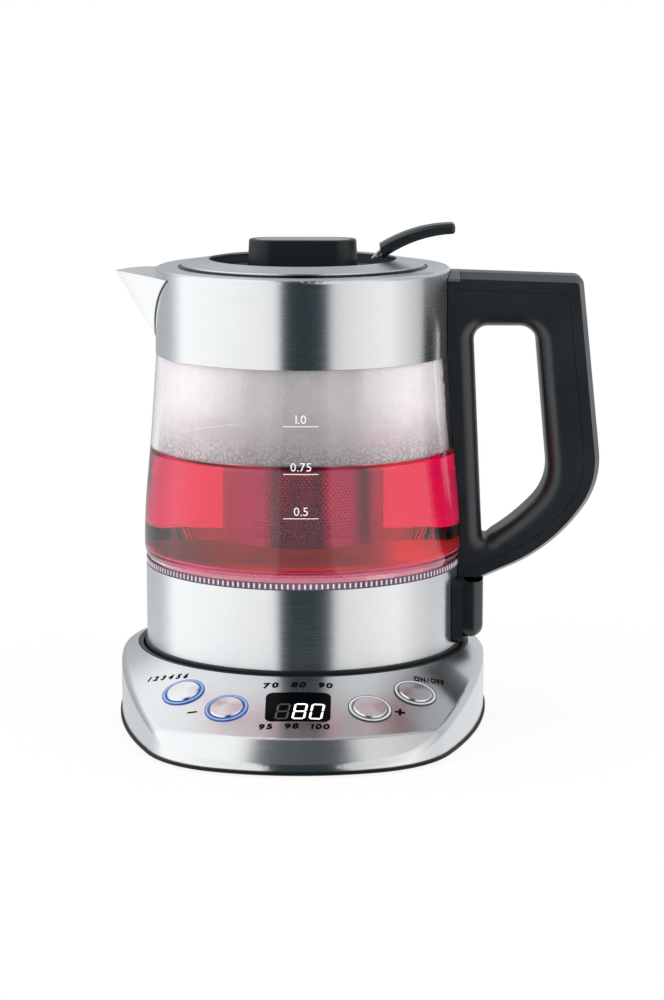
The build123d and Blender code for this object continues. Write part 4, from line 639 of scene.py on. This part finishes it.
def mist_look():
    """White veil of fine drops, thickest and coarsest just above the tea; painted shade darkens it in the
    middle and a painted glow brightens it higher up.
    """
    drops_coarse, drops_fine = 119 * MM, 134 * MM  # heights between which the drops grow finer
    glow_start, glow_full = 121 * MM, 142 * MM
    middle, side = 18 * MM, 44 * MM
    s = Shader("condensation")
    position = s.position()
    x, _, z = s.split(position)
    fine = s.noise(position, 1500.0, 3.0, 0.7)
    coarse = s.add("TexVoronoi", {"Vector": position, "Scale": 760.0}, feature="F1").outputs["Distance"]
    cloud = s.noise(position, 48.0, 4.0)
    low = s.ramp(z, drops_coarse, drops_fine, 1.0, 0.0)
    grains = s.calc("MULTIPLY", s.ramp(coarse, 0.25, 0.6), low)
    cover = s.calc("ADD", s.ramp(cloud, 0.3, 0.7, 0.42, 0.58), s.calc("MULTIPLY", low, 0.3))
    cover = s.calc("SUBTRACT", cover, s.ramp(fine, 0.5, 0.75, 0.0, 0.08))
    tone = s.calc("MAXIMUM", s.calc("MULTIPLY", grains, 0.75), s.ramp(fine, 0.5, 0.8, 0.0, 0.3))
    colour = s.mix(tone, (1.0, 0.97, 0.99, 1.0), (0.42, 0.40, 0.44, 1.0))
    # painted shade: the veil darkens towards the middle, where x is near 0
    unshaded_share = s.ramp(s.calc("ABSOLUTE", x), middle, side, 0.62, 1.0)
    colour = s.mix(unshaded_share, BLACK, colour)
    veil = s.add("BsdfDiffuse", {"Color": colour, "Normal": s.bump(coarse, 0.15 * MM, 0.5)}).outputs[0]
    through = s.add("BsdfTranslucent", {"Color": colour}).outputs[0]
    # painted glow: the veil gives off light of its own, none just above the tea and most towards the collar
    strength = s.ramp(z, glow_start, glow_full, 0.0, 0.27)
    painted_glow = s.add("Emission", {"Color": colour, "Strength": strength}).outputs[0]
    white = s.add("AddShader", {0: s.mix_shader(0.4, veil, through), 1: painted_glow}).outputs[0]
    gap = s.add("BsdfTransparent").outputs[0]
    return s.finish(s.mix_shader(cover, gap, white))


new_object("tea", tea_mesh(), tea_look(), "kettle", smooth=True)
new_object("condensation", mist_mesh(), mist_look(), "kettle", smooth=True)


# ---------------------------------------------------------------- print and display

INK_EDGE = 4.5 * MM  # longer edges of print are split so that it follows a curved surface


def text_mesh(name, body, size, slant=0.0, weight=0.0):
    """Flat letters as a mesh, centred on the origin, size high in metres; each letter is filled alone."""
    letter_gap, word_gap = size * 0.1, size * 0.3
    shape = bmesh.new()
    pen = 0.0
    for letter in body:
        if letter == " ":
            pen += word_gap
            continue
        curve = bpy.data.curves.new(name, "FONT")
        curve.body = letter
        curve.size = size
        curve.shear = slant
        curve.offset = weight
        curve.align_y = "CENTER"
        curve.resolution_u = 4
        holder = bpy.data.objects.new(name, curve)
        scene.collection.objects.link(holder)
        bpy.context.view_layer.update()
        glyph = bpy.data.meshes.new_from_object(holder.evaluated_get(bpy.context.evaluated_depsgraph_get()))
        bpy.data.objects.remove(holder)
        across = [vertex.co.x for vertex in glyph.vertices]
        glyph.transform(Matrix.Translation((pen - min(across), 0, 0)))
        shape.from_mesh(glyph)
        pen += max(across) - min(across) + letter_gap
    mesh = to_mesh(name, shape)
    mesh.transform(Matrix.Translation(((letter_gap - pen) / 2, 0, 0)))
    return mesh


def join_meshes(name, meshes):
    """One mesh of triangles from flat ones."""
    shape = bmesh.new()
    for mesh in meshes:
        shape.from_mesh(mesh)
    bmesh.ops.triangulate(shape, faces=shape.faces)
    bmesh.ops.subdivide_edges(shape, edges=[e for e in shape.edges if e.calc_length() > INK_EDGE], cuts=1)
    return to_mesh(name, shape)


def bar_mesh(name, width, height, steps=12):
    """Flat bar on the origin, in steps along its width."""
    shape = bmesh.new()
    places = [width * (i / steps - 0.5) for i in range(steps + 1)]
    low = [shape.verts.new((x, -height / 2, 0)) for x in places]
    high = [shape.verts.new((x, height / 2, 0)) for x in places]
    for i in range(steps):
        shape.faces.new((low[i], low[i + 1], high[i + 1], high[i]))
    return to_mesh(name, shape)


def ink(name, colour, roughness, glow_strength, specular):
    """Printed colour with a slight grain; glow_strength keeps white print bright on the red tea."""
    s = Shader(name)
    grain = s.noise(s.position(), 3000.0, 2.0)
    surface = s.principled(
        Base_Color=s.mix(s.ramp(grain, 0.3, 0.7), shade(colour, 0.9), colour),
        Roughness=roughness,
        Specular_IOR_Level=specular,
        Emission_Color=colour,
        Emission_Strength=glow_strength,
    )
    return s.finish(surface)


white_ink = ink("ink_white", (0.92, 0.92, 0.92, 1.0), roughness=0.5, glow_strength=0.15, specular=0.5)
black_ink = ink("ink_black", (0.004, 0.004, 0.005, 1.0), roughness=0.7, glow_strength=0.0, specular=0.0)

# level marks: name, number, height in mm; and how far round from -Y they stand, in degrees
MARKS = (("mark_full", "1.0", 137.0), ("mark_middle", "0.75", 116.8), ("mark_low", "0.5", 98.0))
MARK_TURN = 0.6
MARK_LIFT = 0.06 * MM


def mark_mesh(name, label, height):
    """A level mark wrapped on the outside of the glass: its number over a line."""
    letter_size, letter_rise, line_length, line_width = 5.2 * MM, 2.8 * MM, 15 * MM, 0.35 * MM
    centre = math.radians(-90 + MARK_TURN)
    letters = text_mesh(name, label, letter_size)
    letters.transform(Matrix.Translation((0, letter_rise, 0)))
    mesh = join_meshes(name, (letters, bar_mesh(name, line_length, line_width)))
    for vertex in mesh.vertices:
        z = height + vertex.co.y
        radius = glass_radius(z, False) + MARK_LIFT
        angle = centre + vertex.co.x / radius
        vertex.co = (radius * math.cos(angle), radius * math.sin(angle), z)
    return mesh


for title, label, height in MARKS:
    new_object(title, mark_mesh(title, label, height * MM), white_ink, "kettle")


def on_panel(mesh, place, turn, lift):
    """Lay a flat mesh on the sloping panel: place is (x, y) in plan, turn about Z."""
    cosine, sine = math.cos(turn), math.sin(turn)
    for vertex in mesh.vertices:
        along, across = vertex.co.x, vertex.co.y * math.cos(PANEL_SLOPE)
        x = place[0] + along * cosine - across * sine
        y = place[1] + along * sine + across * cosine
        vertex.co = (x, y, panel_height(math.hypot(x, y)) + lift)


# labels: name, characters, place in plan, turn in degrees, height and length in mm
LABELS = (
    ("print_program", "1 2 3 4 5 6", (-57.0, -61.0), -18.0, 4.8, 18.4),
    ("print_top", "70   80   90", (-0.4, -79.7), 0.0, 4.8, 29.6),
    ("print_bottom", "95   98   100", (-1.3, -107.0), 0.0, 4.8, 29.6),
    ("print_power", "ON/OFF", (55.8, -63.5), 13.0, 5.2, 13.6),
    ("print_minus", "–", (-44.8, -91.4), -4.0, 8.0, 4.2),
    ("print_plus", "+", (43.0, -92.2), 4.0, 9.4, 4.4),
)
LABEL_SLANT, LABEL_WEIGHT, LABEL_LIFT = 0.1, 0.22 * MM, 0.09 * MM

for title, label, place, turn, size, length in LABELS:
    letters = text_mesh(title, label, size * MM, LABEL_SLANT, LABEL_WEIGHT)
    places = [vertex.co.x for vertex in letters.vertices]
    letters.transform(Matrix.Diagonal((length * MM / (max(places) - min(places)), 1, 1, 1)))
    flat = join_meshes(title, (letters,))
    on_panel(flat, (place[0] * MM, place[1] * MM), math.radians(turn), LABEL_LIFT)
    new_object(title, flat, black_ink, "base")


# digits of the display: place on the panel, size, distance between them, width and lean of a bar
DIGITS_X, DIGITS_Y = 0.8 * MM, -97.2 * MM
DIGIT_WIDTH, DIGIT_HEIGHT, DIGIT_PITCH = 5.7 * MM, 11.0 * MM, 7.2 * MM
BAR_WIDTH, BAR_LEAN, DIGIT_LIFT = 0.9 * MM, 0.12, 0.05 * MM
# bars by number: top, bottom, middle, upper left, lower left, upper right, lower right
BARS = {"8": (0, 1, 2, 3, 4, 5, 6), "0": (0, 1, 3, 4, 5, 6)}


def digit_bars():
    """The seven bars of a digit as corner lists, in the order of the numbers in BARS."""
    gap, mid = BAR_WIDTH * 0.12, BAR_WIDTH / 2
    half_height, half_width = DIGIT_HEIGHT / 2, DIGIT_WIDTH / 2
    shapes = []
    for y in (half_height - mid, mid - half_height, 0.0):
        left, right = mid + gap - half_width, half_width - mid - gap
        upper = [(left, y), (left + mid, y + mid), (right - mid, y + mid)]
        shapes.append(upper + [(right, y), (right - mid, y - mid), (left + mid, y - mid)])
    for x in (mid - half_width, half_width - mid):
        inner, outer = gap + mid * 0.2, half_height - mid - gap
        for low, high in ((inner, outer), (-outer, -inner)):
            right_side = [(x, low), (x + mid, low + mid), (x + mid, high - mid)]
            shapes.append(right_side + [(x, high), (x - mid, high - mid), (x - mid, low + mid)])
    return [[(x + y * BAR_LEAN, y) for x, y in shape] for shape in shapes]


def digit_mesh(name, digit, offset):
    """The lit bars of a digit, flat, shifted sideways by offset."""
    shape = bmesh.new()
    bars = digit_bars()
    for index in BARS[digit]:
        shape.faces.new([shape.verts.new((x + offset, y, 0)) for x, y in bars[index]])
    bmesh.ops.triangulate(shape, faces=shape.faces)
    return to_mesh(name, shape)


for index, (digit, look) in enumerate((("8", digit_dim), ("8", digit_lit), ("0", digit_lit))):
    title = f"digit_{index}"
    mesh = digit_mesh(title, digit, (index - 1) * DIGIT_PITCH + DIGITS_X)
    on_panel(mesh, (0, DIGITS_Y), 0.0, DIGIT_LIFT)
    new_object(title, mesh, look, "base")


# ---------------------------------------------------------------- floor, world, lamps, camera


def stage_look():
    """Pale floor that reads white to the camera but keeps a soft shadow near the object."""
    shadow_near, shadow_gone = 0.14, 0.26
    s = Shader("floor_pale")
    pale = s.mix(s.noise(s.position(), 400.0, 2.0), (0.86, 0.86, 0.86, 1.0), (0.9, 0.9, 0.9, 1.0))
    paper = s.add("BsdfDiffuse", {"Color": pale}).outputs[0]
    lit = s.add("Emission", {"Color": WHITE, "Strength": 1.0}).outputs[0]
    path = s.add("LightPath")
    seen = s.calc("MAXIMUM", path.outputs["Is Camera Ray"], path.outputs["Is Transmission Ray"])
    share = s.calc("MULTIPLY", seen, s.ramp(s.length(s.position()), shadow_near, shadow_gone, 0.9, 1.0))
    return s.finish(s.mix_shader(share, paper, lit))


floor_shape = bmesh.new()
bmesh.ops.create_grid(floor_shape, x_segments=8, y_segments=8, size=6.0)
floor_mesh = to_mesh("floor", floor_shape)
floor_mesh.materials.append(stage_look())
floor = bpy.data.objects.new("floor", floor_mesh)
scene.collection.objects.link(floor)
floor.location = (0, 0, -0.2 * MM)
floor.visible_glossy = False


# brightness of the studio by direction, degrees round from the front, positive towards the handle
STUDIO = (
    (-180, 0.80), (-129, 1.10), (-100, 1.22), (-59, 1.12), (-40, 1.02), (-14, 0.95), (14, 0.64), (20, 0.70),
    (45, 0.86), (72, 1.04), (88, 0.74), (106, 0.52), (125, 0.44), (180, 0.70),
)
STUDIO_TINT = (0.985, 0.995, 1.0)


def studio_colour(s):
    """What metal mirrors, by direction: x to the handle, y away from the camera, z up."""
    x, y, z = s.split(s.add("TexCoord").outputs["Generated"])
    turn = s.calc("ARCTAN2", x, s.calc("MULTIPLY", y, -1.0))
    around = s.add("ValToRGB", {0: s.ramp(turn, -math.pi, math.pi)})
    elements = around.color_ramp.elements
    for index, (angle, level) in enumerate(STUDIO):
        place = (angle + 180) / 360
        element = elements[index] if index < 2 else elements.new(place)
        element.position = place
        element.color = tuple(level * channel for channel in STUDIO_TINT) + (1.0,)

    # the back wall: grey, darker low down, lighter towards the handle
    back = s.ramp(y, 0.3, 0.6)
    studio = s.mix(s.ramp(y, 0.3, 0.8), around.outputs[0], (0.60, 0.62, 0.64, 1.0))
    studio = s.mix(s.calc("MULTIPLY", back, s.ramp(z, 0.1, 0.5, 1.0, 0.0)), studio, (0.44, 0.47, 0.49, 1.0))
    studio = s.mix(s.calc("MULTIPLY", back, s.ramp(x, 0.0, 0.15)), studio, (0.62, 0.64, 0.66, 1.0))
    # below the horizon: a bright table
    studio = s.mix(s.ramp(z, -0.15, -0.4), studio, (1.15, 1.15, 1.15, 1.0))
    # above the back wall: light on the spout's side, dark in the middle, grey towards the handle
    above = s.mix(s.ramp(x, -0.26, -0.06), (1.05, 1.07, 1.08, 1.0), (0.40, 0.43, 0.45, 1.0))
    above = s.mix(s.ramp(x, 0.02, 0.20), above, (0.66, 0.68, 0.70, 1.0))
    studio = s.mix(s.calc("MULTIPLY", s.ramp(y, 0.25, 0.45), s.ramp(z, 0.4, 0.6)), studio, above)
    # the dark gap between the boxes at the front, with leaning edges
    left_edge = s.calc("SUBTRACT", x, s.calc("ADD", s.calc("MULTIPLY", z, 0.05), -0.265))
    right_edge = s.calc("SUBTRACT", s.calc("ADD", s.calc("MULTIPLY", z, -0.14), 0.343), x)
    strip = s.calc("MULTIPLY", s.ramp(left_edge, -0.02, 0.02), s.ramp(right_edge, -0.02, 0.02))
    strip = s.calc("MULTIPLY", strip, s.ramp(y, 0.16, 0.04))
    return s.mix(strip, studio, (0.026, 0.040, 0.048, 1.0))


def studio_world():
    """White background; metal sees a studio of bright soft boxes and one dark gap at the front."""
    world = bpy.data.worlds.new("studio")
    world.use_nodes = True
    scene.world = world
    s = Nodes(world.node_tree)
    path = s.add("LightPath")
    seen = s.calc("MAXIMUM", path.outputs["Is Camera Ray"], path.outputs["Is Transmission Ray"])
    fill = s.add("Background", {"Color": WHITE, "Strength": 0.62}).outputs[0]
    gloss = s.add("Background", {"Color": studio_colour(s), "Strength": 1.0}).outputs[0]
    white = s.add("Background", {"Color": WHITE, "Strength": 1.0}).outputs[0]
    unseen = s.mix_shader(path.outputs["Is Glossy Ray"], fill, gloss)
    s.add("OutputWorld", {0: s.mix_shader(seen, unseen, white)})


studio_world()


def lamp(name, place, size, power):
    """Soft box that points at the middle of the kettle; metal doesn't mirror it."""
    target = (0, 0, 0.1)
    light = bpy.data.lights.new(name, "AREA")
    light.shape = "RECTANGLE"
    light.size, light.size_y = size
    light.energy = power
    holder = bpy.data.objects.new(name, light)
    holder.location = place
    holder.rotation_mode = "QUATERNION"
    holder.rotation_quaternion = (Vector(target) - Vector(place)).to_track_quat("-Z", "Y")
    holder.visible_glossy = False
    scene.collection.objects.link(holder)


lamp("key_left", (-1.1, -0.7, 1.0), (0.9, 1.2), 9.0)
lamp("fill_right", (1.2, -0.6, 0.8), (0.7, 1.2), 6.0)
lamp("top", (0.0, 0.3, 1.4), (1.2, 0.9), 7.0)

# Camera, fitted to the photo: distance from the axis and height in metres, focal length in widths of the
# sensor, how far round it stands, how far down it looks and how far to the side of the axis it aims
CAMERA_DISTANCE, CAMERA_HEIGHT, CAMERA_FOCUS = 1.2599, 0.3176, 2.8503
CAMERA_TURN, CAMERA_PITCH, CAMERA_AIM = math.radians(1.4), math.radians(10.08), math.radians(0.589)
SENSOR = 36.0

camera_data = bpy.data.cameras.new("camera")
camera_data.sensor_width = SENSOR
camera_data.lens = SENSOR * CAMERA_FOCUS
camera_data.clip_start, camera_data.clip_end = 0.05, 30.0
camera = bpy.data.objects.new("camera", camera_data)
camera.location = (
    CAMERA_DISTANCE * math.sin(CAMERA_TURN),
    -CAMERA_DISTANCE * math.cos(CAMERA_TURN),
    CAMERA_HEIGHT,
)
heading = CAMERA_TURN - CAMERA_AIM
forward = Vector((
    -math.sin(heading) * math.cos(CAMERA_PITCH),
    math.cos(heading) * math.cos(CAMERA_PITCH),
    -math.sin(CAMERA_PITCH),
))
camera.rotation_mode = "QUATERNION"
camera.rotation_quaternion = forward.to_track_quat("-Z", "Y")
scene.collection.objects.link(camera)
scene.camera = camera
scene.view_settings.view_transform = "Standard"
